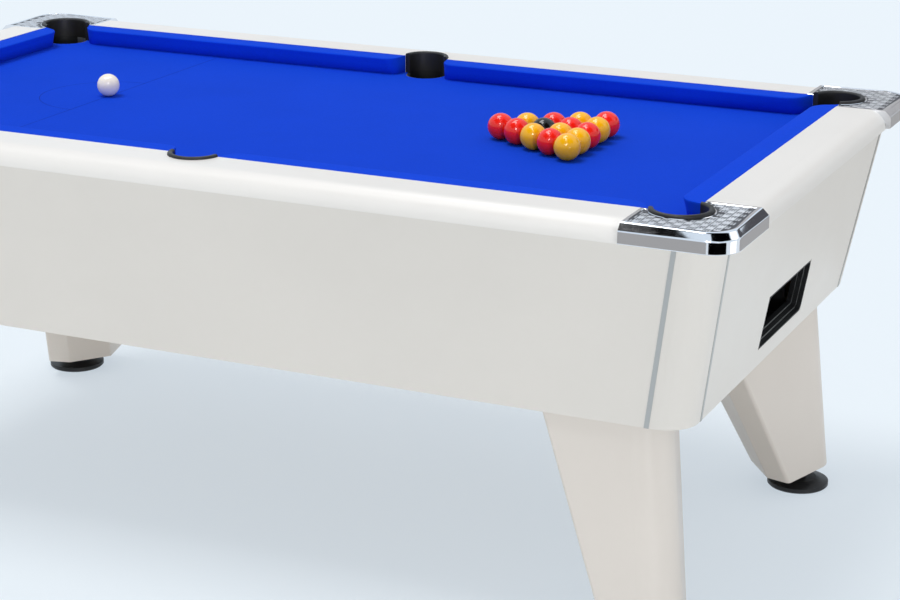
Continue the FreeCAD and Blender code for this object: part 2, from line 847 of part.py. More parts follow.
def bed_sheet(name, low, thick):
    """A layer of the bed: a rectangle notched at its pockets and drilled for the bolts."""
    body = new_body(name)
    pad(body, rectangle(body, ("-(slate_x)", "slate_x"), ("-(slate_y)", "slate_y"), offset=low),
        thick)
    pocket(body, circles(body, corner_centres(), "corner_pocket_radius"))
    for x_side, y_side in SIDES:
        far = ("slate_x + panel_thick", "slate_y + panel_thick")
        corners = [(f"{x_side}(corner_x)", f"{y_side}(corner_y)"),
                   (f"{x_side}({far[0]})", f"{y_side}(corner_y)"),
                   (f"{x_side}({far[0]})", f"{y_side}({far[1]})"),
                   (f"{x_side}(corner_x)", f"{y_side}({far[1]})")]
        pocket(body, polygon(body, corners))
    middles = [("0", "middle_y"), ("0", "-(middle_y)")]
    pocket(body, circles(body, middles, "middle_pocket_radius"))
    for side in ("", "-"):
        corners = [("-middle_pocket_radius", f"{side}(middle_y)"),
                   ("middle_pocket_radius", f"{side}(middle_y)"),
                   ("middle_pocket_radius", f"{side}(slate_y + panel_thick)"),
                   ("-middle_pocket_radius", f"{side}(slate_y + panel_thick)")]
        pocket(body, polygon(body, corners))
    sides, ends = rail_bolt_places()
    pocket(body, circles(body, sides + ends, "rail_bolt_radius + bolt_hole_gap"))
    return body


def make_bed():
    keep("slate", bed_sheet("Slate", "slate_base", "slate_thick"))
    keep("bed_cloth", bed_sheet("BedCloth", "slate_top", "cloth_thick"))


def make_slate_frame():
    """The timber frame that stiffens the slate: two long members and four across."""
    half_x, half_y = "(rail_in_x - frame_in_x)", "(rail_in_y - frame_in_y)"
    span_up = ("slate_base - frame_height", "slate_base")
    members = [box("FrameBack", (f"-{half_x}", half_x), (f"{half_y} - frame_width", half_y),
                   span_up)]
    members.append(mirrored("FrameFront", members[0], ACROSS_WIDTH))
    inside = f"({half_y} - frame_width)"
    starts = (f"-{half_x}", f"-{half_x} / 3 - frame_width / 2", f"{half_x} / 3 - frame_width / 2",
              f"{half_x} - frame_width")
    for index, start in enumerate(starts):
        members.append(box(f"FrameAcross{index}", (start, f"{start} + frame_width"),
                           (f"-{inside}", inside), span_up))
    keep("slate_frame", fuse("SlateFrame", members))


def rail_bolt_bores(body, places):
    bores = circles(body, places, "rail_bolt_radius + bolt_bore_gap", offset="bed_top")
    pocket(body, bores, "rail_bolt_bite + bolt_bore_end", upwards=True)


def rail_bar(name, role, inner, outer, half_length):
    """A rail's full section, rounded along its top outer edge."""
    body = new_body(name)
    profile = [(inner, "bed_top"), (outer, "bed_top"), (outer, "table_height"),
               (inner, "table_height")]
    pad(body, polygon(body, profile, role=role), f"{half_length} * 2", both_ways=True)
    ridge, rim = number(outer), number("table_height")

    def along_ridge(edge):
        centre = edge.CenterOfMass
        reach = centre.y if role == "YZ_Plane" else centre.x
        return abs(reach - ridge) < TOUCH and abs(centre.z - rim) < TOUCH

    round_edges(body, "rail_round", along_ridge)
    return body


def rail_block(name, across, along):
    """The low block at a rail's end, which carries a casting and is cut round its pocket."""
    body = new_body(name)
    pad(body, rectangle(body, across, along, offset="bed_top"), "rail_tongue")
    pocket(body, circles(body, [("corner_x", "corner_y")], CORNER_RING))
    return body


def make_side_rails():
    """A long rail between the castings, and the blocks that go on under them."""
    bar = rail_bar("SideRailBar", "YZ_Plane", "rail_in_y", "rail_out_y", "cap_in_x")
    pocket(bar, circles(bar, [("0", "middle_y")], MIDDLE_RING))
    sides, _ = rail_bolt_places()
    rail_bolt_bores(bar, [place for place in sides if not place[1].startswith("-")])
    block = rail_block("SideRailBlock", ("cap_in_x", "rail_out_x"), ("rail_in_y", "rail_out_y"))
    out_x, out_y = number("rail_out_x"), number("rail_out_y")
    round_edges(block, "cap_round - cap_proud", lambda edge: stands_over(edge, out_x, out_y))
    other_block = mirrored("SideRailOtherBlock", block, ACROSS_LENGTH)
    rail = group("SideRail", [bar, block, other_block])
    keep("back_rail", rail)
    keep("front_rail", mirrored("FrontRail", rail, ACROSS_WIDTH))


def make_end_rails():
    """A short rail between the castings, and the blocks that go on under them."""
    bar = rail_bar("EndRailBar", "XZ_Plane", "rail_in_x", "rail_out_x", "cap_in_y")
    _, ends = rail_bolt_places()
    rail_bolt_bores(bar, [place for place in ends if not place[0].startswith("-")])
    block = rail_block("EndRailBlock", ("rail_in_x", "rail_out_x"), ("cap_in_y", "rail_in_y"))
    other_block = mirrored("EndRailOtherBlock", block, ACROSS_WIDTH)
    rail = group("EndRail", [bar, block, other_block])
    keep("window_end_rail", rail)
    keep("lock_end_rail", mirrored("LockEndRail", rail, ACROSS_LENGTH))


def make_rail_bolts():
    sides, ends = rail_bolt_places()
    make_bolt_set("rail_bolts", sides + ends, "rail_bolt_radius",
                  "bed_top - slate_base + rail_bolt_bite", "slate_base",
                  "rail_bolt_head_radius", "rail_bolt_head_height", False)


CUSHION_LEVELS = (("bed_top + cushion_gap", "cushion_undercut"),
                  ("table_height - nose_drop", "0"),
                  ("table_height - cushion_gap", "cushion_top_slope"))


def circle_reach(radius, offset):
    """How far along a chord a circle reaches, where the chord passes at an offset."""
    return f"sqrt(({radius}) * ({radius}) - ({offset}) * ({offset}))"


def make_cushion(name, across, mouths, rounds, swap):
    """A cushion with its back on a rail: across is (start, end) at the rail, mouths how far
    each nose end stands back from there, rounds the radius of each nose end."""
    rail_line, nose_line = ("rail_in_x", "play_length / 2") if swap else \
        ("rail_in_y", "play_width / 2")
    start, end = across
    levels = []
    for height, set_back in CUSHION_LEVELS:
        nose = f"{nose_line} + {set_back}"
        corners = [(start, rail_line), (f"{start} + {mouths[0]}", nose),
                   (f"{end} - {mouths[1]}", nose), (end, rail_line)]
        if swap:
            corners = [(along, out) for out, along in corners]
        radii = ["cushion_gap", f"{rounds[0]} - {set_back}", f"{rounds[1]} - {set_back}",
                 "cushion_gap"]
        levels.append((height, corners, radii))
    return rounded_loft(name, levels)


def make_cushions():
    start = circle_reach(MIDDLE_RING, "middle_pocket_in_y") + " + cushion_gap"
    end = f"corner_x - {circle_reach(CORNER_RING, 'corner_pocket_in_y')} - cushion_gap"
    side = make_cushion("SideCushion", (start, end), ("middle_mouth", "corner_mouth"),
                        ("middle_cushion_round", "corner_cushion_round"), False)
    left = mirrored("LeftCushion", side, ACROSS_LENGTH)
    keep("back_right_cushion", side)
    keep("back_left_cushion", left)
    keep("front_right_cushion", mirrored("FrontRightCushion", side, ACROSS_WIDTH))
    keep("front_left_cushion", mirrored("FrontLeftCushion", left, ACROSS_WIDTH))
    end = f"corner_y - {circle_reach(CORNER_RING, 'corner_pocket_in_x')} - cushion_gap"
    short = make_cushion("EndCushion", (f"-({end})", end), ("corner_mouth", "corner_mouth"),
                         ("corner_cushion_round", "corner_cushion_round"), True)
    keep("window_end_cushion", short)
    keep("lock_end_cushion", mirrored("LockEndCushion", short, ACROSS_LENGTH))


def make_liner(name, centre, radius, mouth):
    """A moulded liner: a thick ring, open where the mouth of the pocket faces the bed. Its
    rolled lip stands proud of the rails."""
    body = new_body(name)
    low, high = "bed_top + liner_gap", "table_height + liner_proud"
    pad(body, circles(body, [centre], f"{radius} + liner_wall", offset=low),
        f"{high} - ({low})")
    pocket(body, circles(body, [centre], radius))
    pocket(body, polygon(body, mouth))
    rim = number(high)
    round_edges(body, "liner_lip", lambda edge: abs(edge.CenterOfMass.z - rim) < TOUCH
                and edge.Curve.TypeId == "Part::GeomCircle")
    return body


def make_liners():
    reach = "corner_pocket_radius * 4"
    corner_mouth = [("rail_in_x", "rail_in_y"), (f"rail_in_x - {reach}", "rail_in_y"),
                    (f"rail_in_x - {reach}", f"rail_in_y - {reach}"),
                    ("rail_in_x", f"rail_in_y - {reach}")]
    liner = make_liner("CornerLiner", ("corner_x", "corner_y"), "corner_pocket_radius",
                       corner_mouth)
    four_group("corner_pocket_liners", liner)
    middle_mouth = [(f"-{reach}", "rail_in_y"), (reach, "rail_in_y"),
                    (reach, f"rail_in_y - {reach}"), (f"-{reach}", f"rail_in_y - {reach}")]
    middle = make_liner("MiddleLiner", ("0", "middle_y"), "middle_pocket_radius", middle_mouth)
    pair_group("middle_pocket_liners", middle)


def make_sleeves():
    """Short tubes under the slate that drop the balls into the runs."""
    sleeves = []
    places = [(centre, "corner_pocket_radius") for centre in corner_centres()]
    places += [(("0", f"{side}(middle_y)"), "middle_pocket_radius") for side in ("", "-")]
    for index, (centre, radius) in enumerate(places):
        low = "slate_base - sleeve_length"
        wall = cylinder(f"SleeveWall{index}", radius, "sleeve_length", (*centre, low))
        hole = cylinder(f"SleeveHole{index}", f"{radius} - sleeve_wall", "sleeve_length * 3",
                        (*centre, f"{low} - sleeve_length"))
        sleeves.append(cut(f"Sleeve{index}", wall, hole))
    keep("pocket_sleeves", group("PocketSleeves", sleeves))


def make_caps():
    """A cast corner: it wraps the ends of two rails and leaves the pocket open."""
    body = new_body("CornerCap")
    plan = [("cap_in_x + cap_gap", "rail_in_y"), ("rail_in_x", "rail_in_y"),
            ("rail_in_x", "cap_in_y + cap_gap"), ("cap_out_x", "cap_in_y + cap_gap"),
            ("cap_out_x", "cap_out_y"), ("cap_in_x + cap_gap", "cap_out_y")]
    low = "table_height - cap_drop"
    pad(body, polygon(body, plan, offset=low), f"cap_top - ({low})")
    seat_x, seat_y = "rail_out_x + cap_gap", "rail_out_y + cap_gap"
    seat = [("cap_in_x - past", "cap_in_y - past"), (seat_x, "cap_in_y - past"),
            (seat_x, seat_y), ("cap_in_x - past", seat_y)]
    pocket(body, polygon(body, seat, offset=low), f"tongue_top + cap_gap - ({low})", upwards=True)
    inner = number(seat_x), number(seat_y)
    round_edges(body, "cap_round - cap_proud + cap_gap", lambda edge: stands_over(edge, *inner))
    out_x, out_y, rim = number("cap_out_x"), number("cap_out_y"), number("cap_top")
    round_edges(body, "cap_round", lambda edge: stands_over(edge, out_x, out_y))

    def outer_rim(edge):
        centre = edge.CenterOfMass
        straight = centre.x > out_x - TOUCH or centre.y > out_y - TOUCH
        bend = edge.Curve.TypeId == "Part::GeomCircle"
        return abs(centre.z - rim) < TOUCH and (straight or bend)

    round_edges(body, "cap_chamfer", outer_rim, kind="Chamfer")
    pocket(body, circles(body, [("corner_x", "corner_y")], CORNER_RING))
    keep_four(corner_names("corner_cap"), body)


def stands_over(edge, x_place, y_place):
    """Whether an edge stands upright over a place in plan."""
    centre = edge.CenterOfMass
    return abs(centre.x - x_place) < TOUCH and abs(centre.y - y_place) < TOUCH


# --------------------------------------------------------------------------------------
# Hinges, prop stay and lock
# --------------------------------------------------------------------------------------

HINGE_PLACES = ("-hinge_pitch", "0", "hinge_pitch")


def knuckle(name, start, length):
    bar = cylinder(name, "hinge_radius", length, (start, "hinge_y", "hinge_z"), "X")
    bore = cylinder(name + "Bore", "hinge_pin_radius + hinge_pin_gap",
                    f"({length}) + past * 2", (f"{start} - past", "hinge_y", "hinge_z"), "X")
    return bar, bore


def make_hinges():
    """Butt hinges along the back: the outer knuckles stay, the middle one lifts."""
    fixed, moving, pins = [], [], []
    third = "hinge_length / 3"
    for index, place in enumerate(HINGE_PLACES):
        start = f"{place} - hinge_length / 2"
        for part, offset in (("A", "0"), ("B", f"{third} * 2 + hinge_split_gap")):
            name = f"FixedKnuckle{index}{part}"
            length = f"{third} - hinge_split_gap"
            bar, bore = knuckle(name, f"{start} + {offset}", length)
            leaf = box(name + "Leaf", (f"{start} + {offset}", f"{start} + {offset} + {length}"),
                       ("top_y + trim_proud", "top_y + trim_proud + hinge_leaf"),
                       ("hinge_z - hinge_leaf_height", "hinge_z"))
            fixed.append(cut(name + "Cut", fuse(name + "Joined", [bar, leaf]), bore))
        bar, bore = knuckle(f"LiftKnuckle{index}", f"{start} + {third}", third)
        leaf = box(f"LiftLeaf{index}", (f"{start} + {third}", f"{start} + {third} * 2"),
                   ("hinge_y - hinge_leaf_lap", "rail_out_y - hinge_leaf_in"),
                   ("bed_top - hinge_leaf", "bed_top"))
        web = box(f"LiftWeb{index}", (f"{start} + {third}", f"{start} + {third} * 2"),
                  ("hinge_y", "hinge_y + hinge_leaf"), ("hinge_z", "bed_top"))
        moving.append(cut(f"LiftCut{index}", fuse(f"LiftJoined{index}", [bar, leaf, web]), bore))
        pins.append(cylinder(f"HingePin{index}", "hinge_pin_radius", "hinge_length",
                             (start, "hinge_y", "hinge_z"), "X"))
    keep("hinge_fixed_leaves", group("HingeFixedLeaves", fixed))
    keep("hinge_lift_leaves", group("HingeLiftLeaves", moving))
    keep("hinge_pins", group("HingePins", pins))


def make_stay():
    """A flat bar beside the slate's end, which swings up under the end rail to prop the top."""
    near_x = "(slate_x + stay_side_gap)"
    pivot_y = "(top_y - stay_pivot_in)"
    pivot_z = "(bed_top - stay_pivot_drop)"
    half = "stay_width / 2"
    body = new_body("PropStay")
    outline = rectangle(body, (f"{pivot_y} - stay_length", pivot_y),
                        (f"{pivot_z} - {half}", f"{pivot_z} + {half}"), "YZ_Plane", near_x)
    pad(body, outline, "stay_thick")
    round_edges(body, "stay_tip_round", runs_along_x)
    pocket(body, circles(body, [(pivot_y, pivot_z)], "stay_pin_radius + stay_pin_gap",
                         "YZ_Plane"))
    keep("prop_stay", body)
    inner_x = f"{near_x} + stay_thick + stay_washer"
    pin = cylinder("StayPin", "stay_pin_radius", "stay_thick + stay_washer * 2",
                   (near_x, pivot_y, pivot_z), "X")
    foot = box("StayFoot", (inner_x, f"{near_x} + stay_foot_reach"),
               (f"{pivot_y} - stay_width", f"{pivot_y} + stay_width"),
               (f"{pivot_z} - {half} / 2", f"{pivot_z} + stay_width"))
    whole = fuse("StayBracketBlock", [pin, foot])
    keep("stay_bracket", cut("StayBracket", whole, doc.getObject("EndPanel")))


def make_lock():
    """A cam lock in the middle of the plain end: the cam turns over a keeper on the top."""
    face_x = "(top_x - cabinet_lean * (cab_top - lock_z) / cabinet_depth + lock_proud)"
    cam_x = "(slate_x + stay_side_gap + cam_thick * 2)"
    barrel = cylinder("LockBarrel", "lock_radius", f"{face_x} - {cam_x} - cam_thick - cam_face_gap",
                      (f"-{face_x}", "0", "lock_z"), "X")
    keep("lock_barrel", barrel)
    hub = cylinder("CamHub", "cam_hub_radius", "cam_thick",
                   (f"-{cam_x} - cam_thick", "0", "lock_z"), "X")
    arm = box("CamArm", (f"-{cam_x} - cam_thick", f"-{cam_x}"),
              ("-cam_width / 2", "cam_width / 2"), ("lock_z", "lock_z + cam_length"))
    keep("lock_cam", fuse("LockCam", [hub, arm]))
    side = ("keeper_offset", "keeper_offset + keeper_width")
    low = "bed_top - keeper_drop"
    far_x = f"-{cam_x} + keeper_gap + keeper_plate"
    plate = box("KeeperPlate", (f"-{cam_x} + keeper_gap", far_x), side, (low, "bed_top"))
    lip = box("KeeperLip", (f"-{cam_x} - cam_thick", far_x), side,
              (low, f"{low} + keeper_thick"))
    keep("lock_keeper", fuse("LockKeeper", [plate, lip]))


# --------------------------------------------------------------------------------------
# Balls: a rack of fifteen and the cue ball
# --------------------------------------------------------------------------------------

# The rack's rows from the apex, each from the front to the back.
RACK = ("r", "ry", "yxr", "ryry", "yyryr")
COLOURS = {"r": "red_balls", "y": "yellow_balls", "x": "black_ball"}


def sphere(name, radius, place):
    ball = doc.addObject("Part::Sphere", name)
    ball.setExpression("Radius", bound(radius))
    for letter, text in zip("xyz", place):
        ball.setExpression("Placement.Base." + letter, bound(text))
    return ball


def make_balls():
    pitch = "(ball_radius * 2 + ball_gap)"
    centre_z = "bed_top + ball_lift + ball_radius"
    racked = {letter: [] for letter in COLOURS}
    for row, letters in enumerate(RACK):
        for place, letter in enumerate(letters):
            along = f"rack_apex + {row} * {pitch} * sqrt(3) / 2"
            across = f"({place} - {row} / 2) * {pitch}"
            racked[letter].append(sphere(f"Ball{row}{place}", "ball_radius",
                                         (along, across, centre_z)))
    for letter, label in COLOURS.items():
        keep(label, group(joined_title(label), racked[letter]))
    keep("cue_ball", sphere("CueBall", "cue_radius",
                            ("-baulk_line", "0", "bed_top + ball_lift + cue_radius")))


# --------------------------------------------------------------------------------------
# Build, check and write
# --------------------------------------------------------------------------------------

STEPS = (make_panels, make_posts, make_trims, make_floor, make_corner_blocks, make_legs,
         make_leg_plates, make_leg_bolts, make_feet, make_window, make_tray, make_side_runs,
         make_end_runs, make_bed, make_slate_frame, make_side_rails, make_end_rails,
         make_rail_bolts, make_cushions, make_liners, make_sleeves, make_caps, make_hinges,
         make_stay, make_lock, make_balls)


def check_document():
    for item in doc.Objects:
        if "Invalid" in item.State or "Error" in item.State:
            raise RuntimeError(f"{item.Label} failed: {item.State}")
    for item in nodes:
        if item.Shape.isNull() or not item.Shape.isValid() or not item.Shape.Solids:
            raise RuntimeError(f"{item.Label} has no valid solid")


def write_parts():
    os.makedirs("parts", exist_ok=True)
    for item in nodes:
        item.Shape.exportStep(os.path.join("parts", item.Label + ".step"))


for step in STEPS:
    step()
doc.recompute()
check_document()
write_parts()
for item in nodes:
    size = item.Shape.BoundBox
    print(f"{item.Label}: {len(item.Shape.Solids)} solids, "
          f"{size.XLength:.1f} x {size.YLength:.1f} x {size.ZLength:.1f}")
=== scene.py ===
import json
import math
import random

import bmesh
import bpy
from mathutils import Matrix, Vector


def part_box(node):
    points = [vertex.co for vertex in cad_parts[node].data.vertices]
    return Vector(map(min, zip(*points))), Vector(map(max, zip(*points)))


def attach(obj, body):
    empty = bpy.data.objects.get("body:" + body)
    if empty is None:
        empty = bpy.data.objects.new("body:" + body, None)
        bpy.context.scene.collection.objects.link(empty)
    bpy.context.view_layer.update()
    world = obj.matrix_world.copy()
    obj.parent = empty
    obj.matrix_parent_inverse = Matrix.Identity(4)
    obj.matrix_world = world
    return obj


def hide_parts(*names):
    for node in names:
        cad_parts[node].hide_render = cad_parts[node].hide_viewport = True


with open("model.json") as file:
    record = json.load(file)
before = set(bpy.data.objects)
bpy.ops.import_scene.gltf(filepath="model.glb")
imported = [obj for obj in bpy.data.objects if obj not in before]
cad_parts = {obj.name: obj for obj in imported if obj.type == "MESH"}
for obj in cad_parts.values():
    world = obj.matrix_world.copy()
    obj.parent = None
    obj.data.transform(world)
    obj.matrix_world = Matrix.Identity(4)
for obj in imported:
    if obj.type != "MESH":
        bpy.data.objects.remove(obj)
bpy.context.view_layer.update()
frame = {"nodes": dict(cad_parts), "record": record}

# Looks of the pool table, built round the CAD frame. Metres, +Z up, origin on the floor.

CAD = frame["nodes"]
MM = 0.001

# --------------------------------------------------------------------------------------
# Sizes read from the frame, and the few that belong to the looks alone
# --------------------------------------------------------------------------------------

CORNERS = {"back_right": (1, 1), "back_left": (-1, 1),
           "front_right": (1, -1), "front_left": (-1, -1)}

BED_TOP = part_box("bed_cloth")[1].z
SLATE_X, SLATE_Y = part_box("slate")[1].x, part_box("slate")[1].y
side_low, side_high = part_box("back_right_cushion")
end_low, end_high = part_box("window_end_cushion")
RAIL_IN_X, RAIL_IN_Y = end_high.x, side_high.y
NOSE_X, NOSE_Y = end_low.x, side_low.y
RAIL_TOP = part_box("back_rail")[1].z
cap_low, cap_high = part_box("corner_cap_back_right")

# How far the pockets' centres lie inside the rails' inner faces.
CORNER_POCKET_IN = Vector((19 * MM, 15.25 * MM))
MIDDLE_POCKET_IN = 3.25 * MM
CORNER_POCKET = Vector((RAIL_IN_X, RAIL_IN_Y)) - CORNER_POCKET_IN
MIDDLE_POCKET_Y = RAIL_IN_Y - MIDDLE_POCKET_IN
CORNER_RADIUS = 47 * MM
MIDDLE_RADIUS = 41 * MM
# The baulk line marked across the bed, and the D behind it.
BAULK_X = -511 * MM
D_RADIUS = 146 * MM


# --------------------------------------------------------------------------------------
# Camera, light and stage
# --------------------------------------------------------------------------------------

# The camera's lens, its place, and how far it is turned, tilted down and rolled.
LENS_MM = 91.584
SENSOR_MM = 36
CAMERA_PLACE = Vector((2.1383, -4.0625, 1.8469))
CAMERA_AZIMUTH = math.radians(24.44)
CAMERA_DOWN = math.radians(17.35)
CAMERA_ROLL = math.radians(0.35)
BLACK = (0.0, 0.0, 0.0)
DARK = (0.09, 0.09, 0.10)
WHITE = (1.0, 1.0, 1.0)
GREY = (0.50, 0.50, 0.51)
SKIRT_GREY = (0.42, 0.42, 0.42)
PALE_BLUE = (0.791, 0.896, 1.0, 1)
FILL_COLOUR = (1.0, 0.985, 0.965, 1)
FILL_STRENGTH = 0.60
FLOOR_SIZE = 40
FLOOR_COLOUR = (0.84, 0.88, 0.90, 1)
FLOOR_LIFT = 0.6
# (name, strength, spread, azimuth, elevation) with the angles in degrees.
SUNS = [("key", 1.50, 28, -60, 74), ("front", 0.62, 8, 42, 3)]
# What the cards face: the long side and the corner of the near casting, and the rack.
CASTING = (1.0, -0.52, 0.84)
CASTING_CORNER = (1.07, -0.53, 0.83)
RACK = (0.45, 0, BED_TOP)
# (name, colour, strength, centre, size, what it faces): only mirrors see them.
CARDS = [
    ("flag_over", BLACK, 1, (-0.2, -1.1, 2.5), (1.7, 1.3), CASTING),
    ("spark", WHITE, 5, (0.75, -1.0, 2.55), (0.16, 0.3), CASTING),
    ("flag_over_corner", BLACK, 1, (1.6, -0.6, 2.5), (1.5, 1.5), CASTING_CORNER),
    ("flag_behind", GREY, 1, (0.2, 3.4, 1.75), (4.2, 0.9), CASTING),
    ("flag_end", DARK, 1, (2.2, 2.5, 1.85), (1.3, 0.9), CASTING_CORNER),
    ("flag_skirt", SKIRT_GREY, 1, (0.2, -2.4, 0.3), (1.6, 1.3), CASTING),
    ("flag_corner", BLACK, 1, (2.0, -1.75, 0.35), (2.0, 1.4), CASTING_CORNER),
    ("softbox_corner", WHITE, 1.6, (2.95, -0.1, 0.35), (1.0, 1.4), CASTING_CORNER),
    ("softbox_chamfer", WHITE, 1.6, (2.6, 0.9, 2.4), (0.8, 1.0), CASTING_CORNER),
    ("flag_end_skirt", SKIRT_GREY, 1, (1.9, 1.6, 0.3), (1.6, 1.4), CASTING_CORNER),
    ("softbox_top", WHITE, 8, (-0.4, 0.6, 3.4), (1.3, 0.7), RACK),
    ("softbox_front", WHITE, 14, (1.2, -2.9, 2.7), (0.8, 0.8), RACK),
]


def make_camera():
    """A long lens turned, tilted down and rolled by the angles above."""
    data = bpy.data.cameras.new("camera")
    data.lens = LENS_MM
    data.sensor_width = SENSOR_MM
    camera = bpy.data.objects.new("camera", data)
    bpy.context.scene.collection.objects.link(camera)
    turn, down = CAMERA_AZIMUTH, CAMERA_DOWN
    ahead = Vector((-math.sin(turn) * math.cos(down), math.cos(turn) * math.cos(down),
                    -math.sin(down)))
    level = Vector((math.cos(turn), math.sin(turn), 0))
    upright = level.cross(ahead)
    right = math.cos(CAMERA_ROLL) * level + math.sin(CAMERA_ROLL) * upright
    up = math.cos(CAMERA_ROLL) * upright - math.sin(CAMERA_ROLL) * level
    camera.matrix_world = Matrix.Translation(CAMERA_PLACE) @ Matrix(
        (right, up, -ahead)).transposed().to_4x4()
    bpy.context.scene.camera = camera


def make_sun(name, strength, spread_deg, azimuth_deg, elevation_deg):
    """A lamp without falloff: azimuth 0 shines from -Y, 90 from +X."""
    data = bpy.data.lights.new(name, "SUN")
    data.energy = strength
    data.angle = math.radians(spread_deg)
    lamp = bpy.data.objects.new(name, data)
    bpy.context.scene.collection.objects.link(lamp)
    turn, lift = math.radians(azimuth_deg), math.radians(elevation_deg)
    towards = Vector((math.sin(turn) * math.cos(lift), -math.cos(turn) * math.cos(lift),
                      math.sin(lift)))
    lamp.rotation_euler = towards.to_track_quat("Z", "Y").to_euler()


def seen_rays(nodes, links):
    """One for rays that show the background: the camera's, mirrored ones and those let through."""
    path = nodes.new("ShaderNodeLightPath")
    seen = path.outputs["Is Camera Ray"]
    for ray in ("Is Glossy Ray", "Is Transmission Ray"):
        either = nodes.new("ShaderNodeMath")
        either.operation = "MAXIMUM"
        links.new(seen, either.inputs[0])
        links.new(path.outputs[ray], either.inputs[1])
        seen = either.outputs[0]
    return seen


def make_world():
    """Pale background for the camera and in reflections, and a dimmer one as fill light."""
    world = bpy.data.worlds.new("studio")
    world.use_nodes = True
    bpy.context.scene.world = world
    nodes, links = world.node_tree.nodes, world.node_tree.links
    nodes.clear()
    output = nodes.new("ShaderNodeOutputWorld")
    seen = nodes.new("ShaderNodeBackground")
    seen.inputs["Color"].default_value = PALE_BLUE
    fill = nodes.new("ShaderNodeBackground")
    fill.inputs["Color"].default_value = FILL_COLOUR
    fill.inputs["Strength"].default_value = FILL_STRENGTH
    blend = nodes.new("ShaderNodeMixShader")
    links.new(seen_rays(nodes, links), blend.inputs["Fac"])
    links.new(fill.outputs[0], blend.inputs[1])
    links.new(seen.outputs[0], blend.inputs[2])
    links.new(blend.outputs[0], output.inputs["Surface"])


def lift_where_seen(mat):
    """Lightens the floor where it is seen, and leaves the object's shadow on it, softer."""
    nodes, links = mat.node_tree.nodes, mat.node_tree.links
    output, shader = nodes["Material Output"], nodes["Principled BSDF"]
    glow = nodes.new("ShaderNodeEmission")
    glow.inputs["Color"].default_value = PALE_BLUE
    share = nodes.new("ShaderNodeMath")
    share.operation = "MULTIPLY"
    share.inputs[1].default_value = FLOOR_LIFT
    blend = nodes.new("ShaderNodeMixShader")
    links.new(seen_rays(nodes, links), share.inputs[0])
    links.new(share.outputs[0], blend.inputs["Fac"])
    links.new(shader.outputs[0], blend.inputs[1])
    links.new(glow.outputs[0], blend.inputs[2])
    links.new(blend.outputs[0], output.inputs["Surface"])


def make_floor():
    """A pale matt floor."""
    bpy.ops.mesh.primitive_plane_add(size=FLOOR_SIZE)
    floor = bpy.context.object
    floor.name = "floor"
    mat = bpy.data.materials.new("floor")
    mat.use_nodes = True
    shader = mat.node_tree.nodes["Principled BSDF"]
    shader.inputs["Base Color"].default_value = FLOOR_COLOUR
    shader.inputs["Roughness"].default_value = 1
    shader.inputs["Specular IOR Level"].default_value = 0
    lift_where_seen(mat)
    floor.data.materials.append(mat)


def make_card(name, colour, strength, centre, size, towards):
    """A card that only mirrors see: a dark flag or a bright softbox for chrome and balls."""
    bpy.ops.mesh.primitive_plane_add(size=1, location=centre)
    card = bpy.context.object
    card.name = name
    card.scale = (size[0], size[1], 1)
    card.rotation_euler = (Vector(towards) - Vector(centre)).to_track_quat("Z", "Y").to_euler()
    mat = bpy.data.materials.new(name)
    mat.use_nodes = True
    shader = mat.node_tree.nodes["Principled BSDF"]
    shader.inputs["Base Color"].default_value = (0, 0, 0, 1)
    shader.inputs["Specular IOR Level"].default_value = 0
    shader.inputs["Emission Color"].default_value = (*colour, 1)
    shader.inputs["Emission Strength"].default_value = strength
    card.data.materials.append(mat)
    card.visible_camera = False
    card.visible_diffuse = False
    card.visible_shadow = False
    card.visible_transmission = False


def make_stage():
    """Everything round the table: camera, background, floor, lamps and cards."""
    make_camera()
    make_world()
    make_floor()
    for name, strength, spread, azimuth, elevation in SUNS:
        make_sun(name, strength, spread, azimuth, elevation)
    for name, colour, strength, centre, size, towards in CARDS:
        make_card(name, colour, strength, centre, size, towards)
    bpy.context.scene.view_settings.view_transform = "Standard"


# --------------------------------------------------------------------------------------
# Material helpers
# --------------------------------------------------------------------------------------

